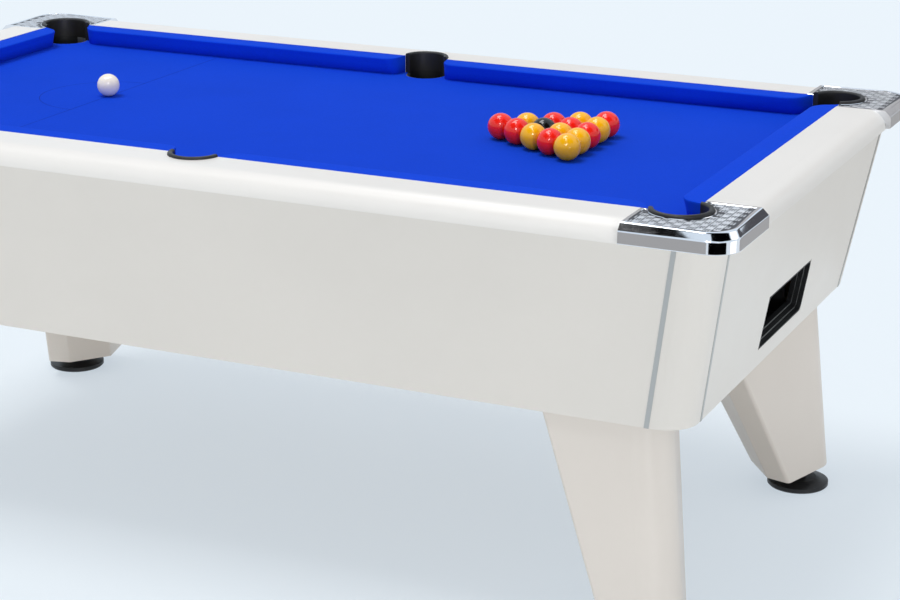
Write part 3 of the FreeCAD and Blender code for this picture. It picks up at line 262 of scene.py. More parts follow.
class Look:
    """A Principled material with short calls for the textures that it uses."""

    def __init__(self, name, colour, roughness, **sockets):
        self.material = bpy.data.materials.new(name)
        self.material.use_nodes = True
        self.nodes = self.material.node_tree.nodes
        self.links = self.material.node_tree.links
        self.shader = self.nodes["Principled BSDF"]
        self.set("Base Color", (*colour, 1))
        self.set("Roughness", roughness)
        for socket, value in sockets.items():
            self.set(socket.replace("_", " "), value)
        place = self.nodes.new("ShaderNodeTexCoord")
        self.place = place.outputs["Object"]

    def set(self, socket, value):
        self.shader.inputs[socket].default_value = value

    def stretched(self, scale):
        """Object coordinates scaled by axis, which draws a pattern out along the small ones."""
        mapping = self.nodes.new("ShaderNodeMapping")
        mapping.inputs["Scale"].default_value = scale
        self.links.new(self.place, mapping.inputs["Vector"])
        return mapping.outputs[0]

    def noise(self, scale, detail=3, roughness=0.55, stretch=None, distortion=0):
        node = self.nodes.new("ShaderNodeTexNoise")
        node.inputs["Scale"].default_value = scale
        node.inputs["Detail"].default_value = detail
        node.inputs["Roughness"].default_value = roughness
        node.inputs["Distortion"].default_value = distortion
        self.links.new(self.stretched(stretch) if stretch else self.place,
                       node.inputs["Vector"])
        return node.outputs["Fac"]

    def cells(self, scale):
        node = self.nodes.new("ShaderNodeTexVoronoi")
        node.inputs["Scale"].default_value = scale
        self.links.new(self.place, node.inputs["Vector"])
        return node.outputs["Distance"]

    def wave(self, scale, distortion, detail_scale, direction):
        node = self.nodes.new("ShaderNodeTexWave")
        node.bands_direction = direction
        node.inputs["Scale"].default_value = scale
        node.inputs["Distortion"].default_value = distortion
        node.inputs["Detail Scale"].default_value = detail_scale
        self.links.new(self.place, node.inputs["Vector"])
        return node.outputs["Fac"]

    def ramp(self, source, low, high, value_low=0.0, value_high=1.0):
        """A source between low and high, spread from one value to another."""
        node = self.nodes.new("ShaderNodeMapRange")
        for socket, value in zip(("From Min", "From Max", "To Min", "To Max"),
                                 (low, high, value_low, value_high)):
            node.inputs[socket].default_value = value
        self.links.new(source, node.inputs["Value"])
        return node.outputs[0]

    def combine(self, operation, first, second):
        """The sum or product of two outputs, or of an output and a number."""
        node = self.nodes.new("ShaderNodeMath")
        node.operation = operation
        for index, value in enumerate((first, second)):
            if isinstance(value, (int, float)):
                node.inputs[index].default_value = value
            else:
                self.links.new(value, node.inputs[index])
        return node.outputs[0]

    def blend(self, factor, first, second):
        """A colour between two colours, or between a colour output and a colour."""
        node = self.nodes.new("ShaderNodeMix")
        node.data_type = "RGBA"
        self.links.new(factor, node.inputs["Factor"])
        for socket, value in (("A", first), ("B", second)):
            slot = next(item for item in node.inputs if item.name == socket
                        and item.type == "RGBA")
            if isinstance(value, tuple):
                slot.default_value = (*value, 1)
            else:
                self.links.new(value, slot)
        return next(item for item in node.outputs if item.type == "RGBA")

    def colour(self, output):
        self.links.new(output, self.shader.inputs["Base Color"])

    def rough(self, output):
        self.links.new(output, self.shader.inputs["Roughness"])

    def bump(self, height, strength, distance):
        """Adds a bump on top of those already there."""
        node = self.nodes.new("ShaderNodeBump")
        node.inputs["Strength"].default_value = strength
        node.inputs["Distance"].default_value = distance
        self.links.new(height, node.inputs["Height"])
        earlier = self.shader.inputs["Normal"].links
        if earlier:
            self.links.new(earlier[0].from_socket, node.inputs["Normal"])
        self.links.new(node.outputs[0], self.shader.inputs["Normal"])


def tinted(colour, factor):
    """A colour made darker or lighter by a factor."""
    return tuple(part * factor for part in colour)


# --------------------------------------------------------------------------------------
# Materials
# --------------------------------------------------------------------------------------

def laminate(name, colour):
    """Satin laminate: a fine pebble in the surface and a faint cloudiness."""
    look = Look(name, colour, 0.34, Specular_IOR_Level=0.42)
    cloud = look.noise(2.2, 4)
    fine = look.noise(60, 2)
    both = look.combine("MULTIPLY", look.ramp(cloud, 0.3, 0.7), look.ramp(fine, 0.2, 0.8, 0.8, 1))
    look.colour(look.blend(both, tinted(colour, 0.975), tinted(colour, 1.015)))
    look.rough(look.ramp(look.noise(9, 5), 0.3, 0.7, 0.30, 0.40))
    look.bump(look.cells(1500), 0.05, 0.0002)
    return look.material


def cloth(name, colour):
    """Napped wool: short fibres laid along the table, with a soft mottle."""
    look = Look(name, colour, 0.92, Sheen_Weight=0.05, Sheen_Roughness=0.45,
                Specular_IOR_Level=0.03)
    look.set("Sheen Tint", (0.1, 0.3, 1.0, 1))
    nap = (0.35, 1, 1)
    fibre = look.noise(1400, 3, 0.7, stretch=nap)
    weave = look.noise(420, 4, 0.6, stretch=nap)
    mottle = look.noise(5, 4, 0.6)
    tone = look.combine("ADD", look.combine("MULTIPLY", fibre, 0.45),
                        look.combine("MULTIPLY", weave, 0.35))
    tone = look.combine("ADD", tone, look.combine("MULTIPLY", mottle, 0.25))
    look.colour(look.blend(look.ramp(tone, 0.3, 0.75), tinted(colour, 0.86),
                           tinted(colour, 1.13)))
    look.bump(fibre, 0.35, 0.0005)
    look.bump(weave, 0.25, 0.0008)
    return look.material


def chrome(name, colour, low, high):
    """Plated metal, between two roughnesses."""
    look = Look(name, colour, low, Metallic=1.0)
    look.rough(look.ramp(look.noise(35, 5, 0.65), 0.35, 0.7, low, high))
    look.bump(look.noise(220, 3), 0.02, 0.0003)
    return look.material


def cast_field(name, colour):
    """The sunken ground between the raised strokes of a casting."""
    look = Look(name, colour, 0.38, Metallic=1.0)
    grit = look.noise(900, 4, 0.7)
    look.colour(look.blend(grit, tinted(colour, 0.55), tinted(colour, 1.25)))
    look.rough(look.ramp(grit, 0.3, 0.7, 0.30, 0.5))
    look.bump(grit, 0.5, 0.0004)
    return look.material


def brushed(name, colour, roughness=0.34):
    """Satin metal, brushed up and down."""
    look = Look(name, colour, roughness, Metallic=1.0, Anisotropic=0.4)
    lines = look.noise(1800, 3, 0.6, stretch=(1, 1, 0.02))
    look.colour(look.blend(lines, tinted(colour, 0.9), tinted(colour, 1.06)))
    look.rough(look.ramp(lines, 0.3, 0.7, roughness - 0.06, roughness + 0.08))
    look.bump(lines, 0.06, 0.0002)
    return look.material


def zinc(name):
    """Bright zinc plate with a faint spangle."""
    colour = (0.56, 0.57, 0.58)
    look = Look(name, colour, 0.35, Metallic=1.0)
    spangle = look.cells(140)
    look.colour(look.blend(spangle, tinted(colour, 0.82), tinted(colour, 1.1)))
    look.rough(look.ramp(look.noise(60, 4), 0.3, 0.7, 0.26, 0.46))
    look.bump(look.noise(500, 3), 0.08, 0.0002)
    return look.material


def moulded(name, colour, low, high, grain=1100, strength=0.25):
    """Moulded plastic or rubber with a fine spark-eroded grain."""
    look = Look(name, colour, low, Specular_IOR_Level=0.4)
    cloud = look.noise(18, 4)
    look.colour(look.blend(cloud, tinted(colour, 0.75), tinted(colour, 1.3)))
    look.rough(look.ramp(look.noise(40, 4), 0.3, 0.7, low, high))
    look.bump(look.cells(grain), strength, 0.0002)
    return look.material


def timber(name, light, dark, scale):
    """Planed wood: long grain lines, with fine pores along them."""
    look = Look(name, light, 0.6, Specular_IOR_Level=0.3)
    grain = look.wave(scale, 6, 1.6, "Y")
    pores = look.noise(260, 5, 0.7, stretch=(0.05, 1, 1))
    figure = look.noise(18, 5, 0.6, stretch=(0.15, 1, 1), distortion=0.6)
    tone = look.combine("ADD", look.combine("MULTIPLY", grain, 0.4),
                        look.combine("MULTIPLY", figure, 0.6))
    base = look.blend(look.ramp(tone, 0.25, 0.8), light, dark)
    look.colour(look.blend(look.ramp(pores, 0.55, 0.75), base, tinted(dark, 0.7)))
    look.bump(pores, 0.2, 0.0004)
    return look.material


def stone(name):
    """Sawn slate with a faint cleft."""
    colour = (0.085, 0.092, 0.10)
    look = Look(name, colour, 0.7)
    cleft = look.noise(12, 8, 0.65, stretch=(1, 1, 6))
    look.colour(look.blend(look.ramp(cleft, 0.3, 0.7), tinted(colour, 0.7),
                           tinted(colour, 1.4)))
    look.bump(look.noise(90, 6, 0.7), 0.3, 0.0006)
    return look.material


def resin(name, colour):
    """Polished ball resin with the faint haze of wear."""
    look = Look(name, colour, 0.07, IOR=1.54, Specular_IOR_Level=0.4)
    haze = look.noise(70, 5, 0.7)
    look.colour(look.blend(look.ramp(haze, 0.35, 0.75), colour, tinted(colour, 0.95)))
    look.rough(look.ramp(look.noise(160, 4, 0.7), 0.35, 0.75, 0.05, 0.09))
    look.bump(look.noise(500, 2), 0.01, 0.0002)
    return look.material


CLOTH_BLUE = (0.0050, 0.056, 0.65)

LOOKS = {
    "white_laminate": laminate("white_laminate", (0.745, 0.725, 0.695)),
    # The legs' laminate is the cabinet's made warmer and darker: painted shade and warm floor
    # bounce from under the cabinet.
    "leg_laminate": laminate("leg_laminate", (0.74, 0.70, 0.66)),
    "rail_laminate": laminate("rail_laminate", (0.80, 0.795, 0.785)),
    "trim_aluminium": brushed("trim_aluminium", (0.50, 0.50, 0.49)),
    "birch_ply": timber("birch_ply", (0.60, 0.45, 0.28), (0.42, 0.28, 0.15), 9),
    "softwood": timber("softwood", (0.66, 0.47, 0.26), (0.45, 0.26, 0.11), 14),
    "zinc_steel": zinc("zinc_steel"),
    "lock_chrome": chrome("lock_chrome", (0.8, 0.8, 0.82), 0.06, 0.12),
    "black_moulding": moulded("black_moulding", (0.004, 0.004, 0.0045), 0.45, 0.6),
    "slate_stone": stone("slate_stone"),
    "bed_cloth": cloth("bed_cloth", CLOTH_BLUE),
    # The cushions' cloth is the bed's blue made lighter: a painted highlight where the cushion
    # tops catch the light.
    "cushion_cloth": cloth("cushion_cloth", tinted(CLOTH_BLUE, 1.08)),
    "pocket_rubber": moulded("pocket_rubber", (0.010, 0.009, 0.009), 0.40, 0.58, 700, 0.2),
    "cast_chrome": chrome("cast_chrome", (0.80, 0.81, 0.84), 0.05, 0.10),
    "foot_black": moulded("foot_black", (0.010, 0.010, 0.011), 0.38, 0.5, 800, 0.3),
    "ball_red": resin("ball_red", (0.97, 0.020, 0.010)),
    "ball_yellow": resin("ball_yellow", (1.0, 0.50, 0.006)),
    "ball_black": resin("ball_black", (0.006, 0.006, 0.006)),
    "ball_ivory": resin("ball_ivory", (0.96, 0.90, 0.78)),
}
CAST_FIELD = cast_field("cast_field", (0.06, 0.06, 0.07))
CAST_SATIN = chrome("cast_satin", (0.64, 0.64, 0.66), 0.26, 0.36)
LINE_CLOTH = cloth("line_blue", (0.004, 0.030, 0.38))


def dress_frame():
    """Gives every CAD node the material of its slot."""
    for part in frame["record"]["subparts"]:
        node = CAD[part["node"]]
        node.data.materials.clear()
        node.data.materials.append(LOOKS[part["material_slot"]])


# --------------------------------------------------------------------------------------
# Mesh helpers
# --------------------------------------------------------------------------------------

def new_piece(name, points, faces, looks, body, replaces=(), smooth=True):
    """A mesh riding on a body, in the slot named, that may stand in for CAD nodes."""
    mesh = bpy.data.meshes.new(name)
    mesh.from_pydata([tuple(point) for point in points], [], faces)
    mesh.validate()
    tool = bmesh.new()
    tool.from_mesh(mesh)
    bmesh.ops.remove_doubles(tool, verts=tool.verts, dist=1e-6)
    bmesh.ops.recalc_face_normals(tool, faces=tool.faces)
    tool.to_mesh(mesh)
    tool.free()
    mesh.polygons.foreach_set("use_smooth", [smooth] * len(mesh.polygons))
    for look in looks:
        mesh.materials.append(look)
    piece = bpy.data.objects.new(name, mesh)
    bpy.context.scene.collection.objects.link(piece)
    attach(piece, body)
    if replaces:
        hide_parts(*replaces)
    return piece


def sharpen(piece, degrees):
    """Splits the shading where faces meet at more than an angle."""
    mesh = piece.data
    tool = bmesh.new()
    tool.from_mesh(mesh)
    limit = math.radians(degrees)
    for edge in tool.edges:
        edge.smooth = len(edge.link_faces) == 2 and edge.calc_face_angle(0) < limit
    tool.to_mesh(mesh)
    tool.free()


def grid_faces(rows, columns, start=0, closed=False):
    """Quads over a grid of points stored row by row; closed joins the last row to the first."""
    faces = []
    for row in range(rows if closed else rows - 1):
        below = (row + 1) % rows
        for column in range(columns - 1):
            first, second = start + row * columns + column, start + below * columns + column
            faces.append((first, first + 1, second + 1, second))
    return faces


def tube_faces(sections, ring):
    """The sides of a closed tube, from section to section, and its two flat ends."""
    faces = []
    for section in range(sections - 1):
        for side in range(ring):
            first, second = section * ring + side, section * ring + (side + 1) % ring
            faces.append((first, second, second + ring, first + ring))
    faces.append(tuple(range(ring)))
    faces.append(tuple(range((sections - 1) * ring, sections * ring)))
    return faces


def mix(first, second, share):
    """A number or a point at a share of the way from the first to the second."""
    return first + (second - first) * share


def between(first, last, steps):
    """Points that divide a straight run, both ends included."""
    return [mix(first, last, step / steps) for step in range(steps + 1)]


def arc(centre, radius, start_deg, end_deg, steps):
    """Points along an arc in plan, both ends included."""
    points = []
    for step in range(steps + 1):
        angle = math.radians(start_deg + (end_deg - start_deg) * step / steps)
        points.append(Vector((centre[0] + radius * math.cos(angle),
                              centre[1] + radius * math.sin(angle))))
    return points


def mirror_points(points, sides):
    """Points of the back right corner carried to the corner with these signs of x and y."""
    return [Vector((point.x * sides[0], point.y * sides[1], point.z)) for point in points]


# --------------------------------------------------------------------------------------
# Cushions: rubber under stretched cloth, tucked in along the rail
# --------------------------------------------------------------------------------------

JAW_STEPS = 5
BEND_STEPS = 14
RUN_STEPS = 40
CUSHION_LOW = BED_TOP + 0.2 * MM
# (distance back from the nose line, height below the rail's top) from the bed to the top.
# None stands for the cushion's underside.
CUSHION_PROFILE = [(12.0, None), (6.4, 18.0), (2.6, 9.4), (0.8, 5.6), (0.1, 4.0), (0.0, 2.9),
                   (0.5, 1.9), (1.7, 1.15), (4.0, 0.75), (8.0, 0.5), (13.0, 0.3)]
# (share of the way to the rail, height below the rail's top) over the cushion's back.
CUSHION_BACK = [(0.3, 0.15), (0.6, 0.1), (0.85, 0.2), (0.955, 0.45), (0.985, 0.9), (1.0, 2.2)]
# (how far the mouth cuts in, how round its corner is) at the corner and at the middle pocket.
CORNER_JAW = (22 * MM, 44 * MM)
MIDDLE_JAW = (8 * MM, 30 * MM)
PLEAT_DEPTH = 0.35 * MM
PLEAT_REACH = 55 * MM
# Two waves that beat against each other, in radians per metre, so that no two pleats match.
PLEAT_WAVES = (900, 310)


def rounded_corner(before, corner, after, radius):
    """Where a rounding starts, its centre and where it ends, at the corner of two runs."""
    to_before, to_after = (before - corner).normalized(), (after - corner).normalized()
    half = to_before.angle(to_after) / 2
    run = radius / math.tan(half)
    centre = corner + (to_before + to_after).normalized() * radius / math.sin(half)
    return corner + to_before * run, centre, corner + to_after * run


def bend_points(first, centre, last):
    """Points round a centre from the first to the last, the short way."""
    start, end = first - centre, last - centre
    turn = start.angle_signed(end)
    points = []
    for step in range(BEND_STEPS + 1):
        angle = -turn * step / BEND_STEPS
        points.append(centre + Vector((
            start.x * math.cos(angle) - start.y * math.sin(angle),
            start.x * math.sin(angle) + start.y * math.cos(angle))))
    return points


def jaw_outline(start, end, jaws, rail_line, nose_line, back):
    """The plan of a cushion at one distance back from its nose, as (along, out) points."""
    (first_mouth, first_round), (last_mouth, last_round) = jaws
    nose = nose_line + back
    heel, tip = Vector((start, rail_line)), Vector((start + first_mouth, nose))
    last_tip, last_heel = Vector((end - last_mouth, nose)), Vector((end, rail_line))
    bend = rounded_corner(heel, tip, last_tip, first_round - back)
    last_bend = rounded_corner(tip, last_tip, last_heel, last_round - back)
    return [*between(heel, bend[0], JAW_STEPS)[:-1], *bend_points(*bend),
            *between(bend[2], last_bend[0], RUN_STEPS)[1:-1], *bend_points(*last_bend),
            *between(last_bend[2], last_heel, JAW_STEPS)[1:]]


def add_pleats(rows, start, end):
    """Small gathers where the cloth is drawn round the ends of the rubber."""
    fine, coarse = PLEAT_WAVES
    for level, row in enumerate(rows):
        ease = 1 - level / (len(rows) - 1)
        for point in row:
            near = 1 - min(point.x - start, end - point.x, PLEAT_REACH) / PLEAT_REACH
            wave = math.sin((point.x + point.y) * fine) * math.sin(point.x * coarse + level)
            point.y += PLEAT_DEPTH * near * near * ease * wave


def cushion(name, start, end, jaws, rail_line, nose_line, place, node):
    """A closed cushion; place turns (along, out, up) into a point of the frame."""
    rows = []
    for back_mm, below_mm in CUSHION_PROFILE:
        outline = jaw_outline(start, end, jaws, rail_line, nose_line, back_mm * MM)
        height = CUSHION_LOW if below_mm is None else RAIL_TOP - below_mm * MM
        rows.append([Vector((point.x, point.y, height)) for point in outline])
    add_pleats(rows, start, end)
    top = rows[-1]
    for share, below_mm in CUSHION_BACK:
        rows.append([Vector((min(max(point.x, start), end), mix(point.y, rail_line, share),
                             RAIL_TOP - below_mm * MM)) for point in top])
    rows.append([Vector((point.x, point.y, CUSHION_LOW)) for point in rows[-1]])
    points = [place(point) for row in rows for point in row]
    faces = grid_faces(len(rows), len(top), closed=True)
    piece = new_piece(name, points, faces, [LOOKS["cushion_cloth"]], "top",
                      [node])


def make_cushions():
    """Four along the sides, between a middle and a corner pocket, and one at each end."""
    for corner, (x_side, y_side) in CORNERS.items():
        def place(point, x_side=x_side, y_side=y_side):
            return Vector((point.x * x_side, point.y * y_side, point.z))
        cushion(f"{corner}_cushion_cloth", side_low.x, side_high.x, (MIDDLE_JAW, CORNER_JAW),
                RAIL_IN_Y, NOSE_Y, place, f"{corner}_cushion")
    for end, x_side in (("window_end", 1), ("lock_end", -1)):
        def place(point, x_side=x_side):
            return Vector((point.y * x_side, point.x, point.z))
        cushion(f"{end}_cushion_cloth", end_low.y, end_high.y, (CORNER_JAW, CORNER_JAW),
                RAIL_IN_X, NOSE_X, place, f"{end}_cushion")


# --------------------------------------------------------------------------------------
# Bed cloth: stretched over the slate and drawn down into the six pockets
# --------------------------------------------------------------------------------------

CLOTH_BEND = 5 * MM
CLOTH_DROP = 20 * MM
BEND_ROWS = 5
CORNER_ARC_STEPS = 44
MIDDLE_ARC_STEPS = 36


def pocket_arcs():
    """The pockets' edges in order round the bed, as (centre, radius, start, end, steps). Each
    runs from where it meets the slate's edge, round the bed's side of the pocket."""
    cx, cy = CORNER_POCKET
    reach = CORNER_RADIUS + CLOTH_BEND
    end_x = math.degrees(math.acos((SLATE_X - cx) / reach))
    end_y = math.degrees(math.asin((SLATE_Y - cy) / reach))
    return [
        ((-cx, -cy), CORNER_RADIUS, 180 - end_x, -end_y, CORNER_ARC_STEPS),
        ((0, -MIDDLE_POCKET_Y), MIDDLE_RADIUS, 180, 0, MIDDLE_ARC_STEPS),
        ((cx, -cy), CORNER_RADIUS, 180 + end_y, end_x, CORNER_ARC_STEPS),
        ((cx, cy), CORNER_RADIUS, 360 - end_x, 180 - end_y, CORNER_ARC_STEPS),
        ((0, MIDDLE_POCKET_Y), MIDDLE_RADIUS, 360, 180, MIDDLE_ARC_STEPS),
        ((-cx, cy), CORNER_RADIUS, end_y, -180 + end_x, CORNER_ARC_STEPS),
    ]


def pocket_rows(radius):
    """(radius, height) of the cloth's rows, over the slate's edge and down into a pocket."""
    rows = []
    for row in range(BEND_ROWS + 1):
        angle = math.pi / 2 * row / BEND_ROWS
        rows.append((radius + CLOTH_BEND * (1 - math.sin(angle)),
                     BED_TOP - CLOTH_BEND * (1 - math.cos(angle))))
    return [*rows, (radius, BED_TOP - CLOTH_DROP)]


def make_bed_cloth():
    """One face over the bed, whose rim follows the pockets, and a rolled strip at each."""
    points, faces, rim = [], [], []
    for centre, radius, start, end, steps in pocket_arcs():
        edge = arc(centre, radius + CLOTH_BEND, start, end, steps)
        rows = pocket_rows(radius)
        first = len(points)
        for spread, height in rows:
            for point in edge:
                spot = Vector(centre) + (point - Vector(centre)).normalized() * spread
                points.append(Vector((spot.x, spot.y, height)))
        faces += grid_faces(len(rows), len(edge), first)
        along_edge = list(range(first, first + len(edge)))
        if centre[0] == 0:
            side = math.copysign(SLATE_Y, centre[1])
            for place in (edge[0], edge[-1]):
                points.append(Vector((place.x, side, BED_TOP)))
            along_edge = [len(points) - 2, *along_edge, len(points) - 1]
        rim += along_edge
    faces.append(tuple(rim))
    sheet = new_piece("bed_cloth_stretched", points, faces, [LOOKS["bed_cloth"]], "top",
                      ["bed_cloth"])
    flatten_large(sheet)


def flatten_large(piece):
    """Shades the one large face flat, so that the rolled edges don't tilt its light."""
    largest = max(piece.data.polygons, key=lambda polygon: polygon.area)
    largest.use_smooth = False


# --------------------------------------------------------------------------------------
# Lines marked on the cloth
# --------------------------------------------------------------------------------------

LINE_WIDTH = 1.5 * MM
LINE_LIFT = 0.12 * MM
LINE_END_GAP = 1 * MM
LINE_STEPS = 40
D_STEPS = 60


def ribbon(name, path):
    """A marked line: a narrow flat strip along a path on the cloth."""
    points = []
    for index, point in enumerate(path):
        ahead = path[min(index + 1, len(path) - 1)] - path[max(index - 1, 0)]
        across = Vector((-ahead.y, ahead.x)).normalized() * LINE_WIDTH / 2
        for side in (-1, 1):
            spot = point + across * side
            points.append(Vector((spot.x, spot.y, BED_TOP + LINE_LIFT)))
    faces = [(2 * i, 2 * i + 1, 2 * i + 3, 2 * i + 2) for i in range(len(path) - 1)]
    new_piece(name, points, faces, [LINE_CLOTH], "top")


def make_lines():
    """The baulk line across the bed, and the D behind it."""
    end = NOSE_Y - LINE_END_GAP
    ribbon("baulk_line", between(Vector((BAULK_X, -end)), Vector((BAULK_X, end)), LINE_STEPS))
    ribbon("baulk_d", arc((BAULK_X, 0), D_RADIUS, 90, 270, D_STEPS))


# --------------------------------------------------------------------------------------
# Corner castings: polished skirt, chamfer and border round a woven relief
# --------------------------------------------------------------------------------------

CAP_ROUND = 52 * MM
CAP_CHAMFER = 13 * MM
CAP_WALL = 9.4 * MM
CAP_UNDER = 812.4 * MM
CAP_RIM = RAIL_TOP + 0.1 * MM
CAP_EDGE = 1.6 * MM
CAP_EDGE_FLAT = 0.5 * MM
CAP_STRAIGHT_STEPS = 26
CAP_BEND_STEPS = 24
CAP_SHARP_DEG = 35
BORDER_OUT = 7 * MM
BORDER_END = 6 * MM
BORDER_IN = 3.5 * MM
BORDER_SLOPE = 0.8 * MM
FIELD_SUNK = 0.9 * MM
FIELD_STEPS = 6
LINER_OUTER = 57.3 * MM


def cap_paths():
    """Matching points along the outer edge and the inner edge of the back right casting. The
    inner edge follows the rails, and between them the liner."""
    low_x, low_y, high_x, high_y = cap_low.x, cap_low.y, cap_high.x, cap_high.y
    cx, cy = CORNER_POCKET
    inner_x = cx - math.sqrt(LINER_OUTER ** 2 - (RAIL_IN_Y - cy) ** 2)
    inner_y = cy - math.sqrt(LINER_OUTER ** 2 - (RAIL_IN_X - cx) ** 2)
    start = math.degrees(math.atan2(inner_y - cy, RAIL_IN_X - cx))
    end = math.degrees(math.atan2(RAIL_IN_Y - cy, inner_x - cx))
    ends = [0, BORDER_END, BORDER_END + 1 * MM]
    bend = Vector((high_x - CAP_ROUND, high_y - CAP_ROUND))

    outer = [Vector((high_x, low_y + along)) for along in ends]
    outer += between(Vector((high_x, inner_y)), Vector((high_x, bend.y)), CAP_STRAIGHT_STEPS)
    outer += arc(bend, CAP_ROUND, 0, 90, CAP_BEND_STEPS)[1:-1]
    outer += between(Vector((bend.x, high_y)), Vector((inner_x, high_y)), CAP_STRAIGHT_STEPS)
    outer += [Vector((low_x + along, high_y)) for along in reversed(ends)]

    inner = [Vector((RAIL_IN_X, low_y + along)) for along in ends]
    inner += arc(CORNER_POCKET, LINER_OUTER, start, end, 2 * CAP_STRAIGHT_STEPS + CAP_BEND_STEPS)
    inner += [Vector((low_x + along, RAIL_IN_Y)) for along in reversed(ends)]
    return outer, inner


def cap_profile():
    """(distance in from the outer edge, height), from the underside up over the border. A
    ring close to each rounded edge keeps the flats between them flat in the shading."""
    low, edge, near = cap_low.z, CAP_EDGE, CAP_EDGE_FLAT
    skirt_top = CAP_RIM - CAP_CHAMFER
    return [
        (CAP_WALL, CAP_UNDER), (CAP_WALL, low), (edge, low), (edge * 0.3, low + edge * 0.3),
        (0, low + edge), (0, low + edge + near), (0, skirt_top - edge - near),
        (0, skirt_top - edge), (edge * 0.25, skirt_top), (edge * 0.9, skirt_top + edge * 0.9),
        (edge * 0.9 + near, skirt_top + edge * 0.9 + near),
        (CAP_CHAMFER - edge - near, CAP_RIM - edge - near),
        (CAP_CHAMFER - edge, CAP_RIM - edge * 0.95), (CAP_CHAMFER, CAP_RIM - edge * 0.25),
        (CAP_CHAMFER + edge, CAP_RIM), (CAP_CHAMFER + BORDER_OUT, CAP_RIM),
    ]


def cap_section(width, at_end):
    """A closed section of a casting of some width. Its field isn't sunk at the ends."""
    field = CAP_RIM if at_end else CAP_RIM - FIELD_SUNK
    start = CAP_CHAMFER + BORDER_OUT + BORDER_SLOPE
    stop = width - BORDER_IN - BORDER_SLOPE
    floor = [(back, field) for back in between(start, stop, FIELD_STEPS)]
    border = [(width - BORDER_IN, CAP_RIM), (width - BORDER_SLOPE, CAP_RIM),
              (width, CAP_RIM - BORDER_SLOPE), (width, CAP_UNDER)]
    return [*cap_profile(), *floor, *border]


def cap_columns():
    """The casting's sections, from one end to the other, each a closed ring of points."""
    outer, inner = cap_paths()
    columns = []
    for index, (edge, hole) in enumerate(zip(outer, inner)):
        inward = (hole - edge).normalized()
        at_end = index < 2 or index >= len(outer) - 2
        column = []
        for back, height in cap_section((hole - edge).length, at_end):
            spot = edge + inward * back
            column.append(Vector((spot.x, spot.y, height)))
        columns.append(column)
    return columns


def make_cap(corner, sides):
    """A casting, chromed all over but for its dark field."""
    columns = cap_columns()
    points = mirror_points([point for column in columns for point in column], sides)
    faces = tube_faces(len(columns), len(columns[0]))
    cap = new_piece(f"{corner}_casting", points, faces, [LOOKS["cast_chrome"], CAST_FIELD],
                    "top", [f"corner_cap_{corner}"])
    for polygon in cap.data.polygons:
        off_field = abs(polygon.center.z - (CAP_RIM - FIELD_SUNK))
        if off_field < 0.05 * MM and abs(polygon.normal.z) > 0.9:
            polygon.material_index = 1
    sharpen(cap, CAP_SHARP_DEG)


# --------------------------------------------------------------------------------------
# The castings' relief: a basket weave of raised bars
# --------------------------------------------------------------------------------------

FIELD_MARGIN = 1.6 * MM
WEAVE_CELL = 14 * MM
STROKES = 3
STROKE_WIDTH = 2.9 * MM
STROKE_TIP = 0.7
STROKE_SLOPE = 0.5 * MM
STROKE_SHARES = (0.84, 0.96)
STROKE_ROOT = 0.1 * MM
STROKE_BELOW_RIM = 0.05 * MM
STROKE_UNEVEN = 0.15
STROKE_FACES = [(0, 1, 5, 4), (1, 2, 6, 5), (2, 3, 7, 6), (3, 0, 4, 7), (4, 5, 6, 7)]


def on_field(spot):
    """Whether a point is on the back right casting's sunken field, clear of its borders."""
    outer_x = cap_high.x - CAP_CHAMFER - BORDER_OUT - FIELD_MARGIN
    outer_y = cap_high.y - CAP_CHAMFER - BORDER_OUT - FIELD_MARGIN
    end_x = cap_low.x + BORDER_END + FIELD_MARGIN
    end_y = cap_low.y + BORDER_END + FIELD_MARGIN
    if not (end_x < spot.x <= outer_x and end_y < spot.y <= outer_y):
        return False
    bend = Vector((cap_high.x - CAP_ROUND, cap_high.y - CAP_ROUND))
    field_round = CAP_ROUND - CAP_CHAMFER - BORDER_OUT - FIELD_MARGIN
    if spot.x > bend.x and spot.y > bend.y and (spot - bend).length > field_round:
        return False
    if (spot - CORNER_POCKET).length < LINER_OUTER + BORDER_IN + FIELD_MARGIN:
        return False
    return spot.x >= RAIL_IN_X + BORDER_IN or spot.y >= RAIL_IN_Y + BORDER_IN


def stroke_points(centre, along, across, length, base, top):
    """A raised bar with sloping sides."""
    points = []
    for half_along, half_across, height in (
            (length / 2, STROKE_WIDTH / 2, base),
            (length / 2 - STROKE_SLOPE, STROKE_WIDTH / 2 * STROKE_TIP, top)):
        for first, second in ((-1, -1), (1, -1), (1, 1), (-1, 1)):
            spot = centre + along * half_along * first + across * half_across * second
            points.append(Vector((spot.x, spot.y, height)))
    return points


def weave_bars():
    """(centre, along, across) of every bar: cells of three, turned a quarter from one cell to
    the next, over the whole box of the casting."""
    bars = []
    columns = int((cap_high.x - cap_low.x) / WEAVE_CELL) + 2
    rows = int((cap_high.y - cap_low.y) / WEAVE_CELL) + 2
    for column in range(columns):
        for row in range(rows):
            middle = Vector((cap_low.x + (column + 0.5) * WEAVE_CELL,
                             cap_low.y + (row + 0.5) * WEAVE_CELL))
            along = Vector((1, 0)) if (column + row) % 2 else Vector((0, 1))
            across = Vector((-along.y, along.x))
            for stroke in range(STROKES):
                shift = (stroke - (STROKES - 1) / 2) * WEAVE_CELL / STROKES
                bars.append((middle + across * shift, along, across))
    return bars


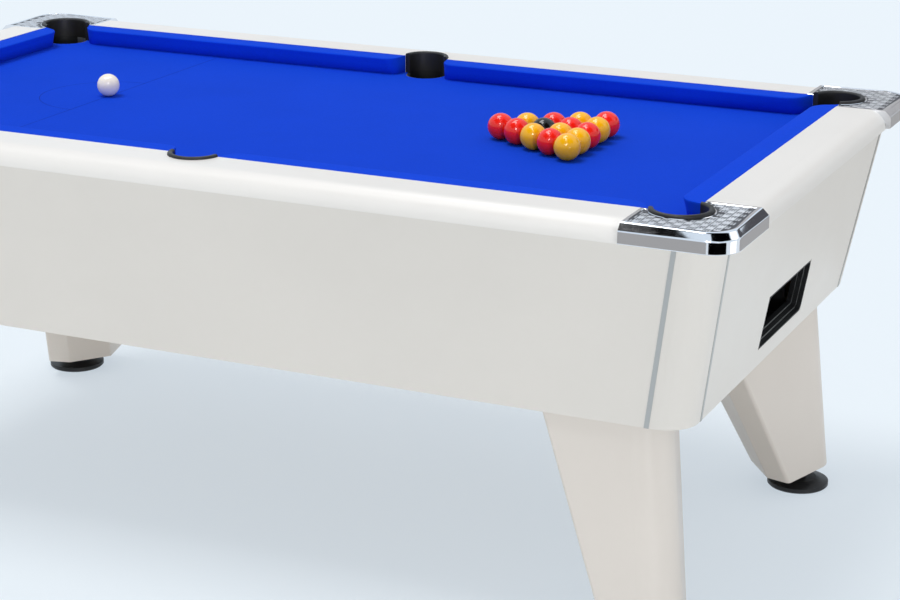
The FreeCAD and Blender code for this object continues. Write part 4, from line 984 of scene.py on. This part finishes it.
def make_relief(corner, sides, seed):
    """The bars that lie wholly on the field, each a little uneven in length and height."""
    chance = random.Random(seed)
    base, top = CAP_RIM - FIELD_SUNK - STROKE_ROOT, CAP_RIM - STROKE_BELOW_RIM
    points, faces = [], []
    for centre, along, across in weave_bars():
        length = WEAVE_CELL * chance.uniform(*STROKE_SHARES)
        tips = [centre + along * length / 2 * side for side in (-1, 1)]
        if not all(on_field(spot) for spot in (*tips, centre)):
            continue
        first = len(points)
        height = top - chance.uniform(0, STROKE_UNEVEN) * MM
        points += stroke_points(centre, along, across, length, base, height)
        faces += [tuple(first + index for index in face) for face in STROKE_FACES]
    new_piece(f"{corner}_casting_weave", mirror_points(points, sides), faces, [CAST_SATIN],
              "top", smooth=False)


def make_caps():
    """A casting and its relief at each corner."""
    for seed, (corner, sides) in enumerate(CORNERS.items()):
        make_cap(corner, sides)
        make_relief(corner, sides, seed)


# --------------------------------------------------------------------------------------
# Pocket throats: the dark wall between each liner and the tube under the slate
# --------------------------------------------------------------------------------------

THROAT_STEPS = 48
THROAT_LAP_DEG = 8
THROAT_GAP = 0.4 * MM
THROAT_WALL = 2 * MM
THROAT_SHARP_DEG = 50


def swept(name, centre, start, end, profile, slot):
    """A closed profile of (radius, height) points carried round an arc, with flat ends."""
    points = []
    for step in range(THROAT_STEPS + 1):
        angle = math.radians(mix(start, end, step / THROAT_STEPS))
        for radius, height in profile:
            points.append(Vector((centre[0] + radius * math.cos(angle),
                                  centre[1] + radius * math.sin(angle), height)))
    faces = tube_faces(THROAT_STEPS + 1, len(profile))
    sharpen(new_piece(name, points, faces, [LOOKS[slot]], "top"), THROAT_SHARP_DEG)


def throat_profile(radius):
    """The wall's section, from just inside the tube's top up to the liner's underside."""
    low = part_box("pocket_sleeves")[1].z - THROAT_WALL
    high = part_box("corner_pocket_liners")[0].z
    near, far = radius + THROAT_GAP, radius + THROAT_GAP + THROAT_WALL
    return [(near, low), (far, low), (far, high), (near, high)]


def make_throats():
    """Each covers the part of the ring that the bed leaves open, and laps behind the cloth."""
    for number, (centre, radius, start, end, _) in enumerate(pocket_arcs()):
        swept(f"pocket_throat_{number}", centre, start - THROAT_LAP_DEG,
              end + 360 + THROAT_LAP_DEG, throat_profile(radius), "black_moulding")


# --------------------------------------------------------------------------------------
# Making
# --------------------------------------------------------------------------------------

make_stage()
dress_frame()
make_cushions()
make_bed_cloth()
make_lines()
make_caps()
make_throats()
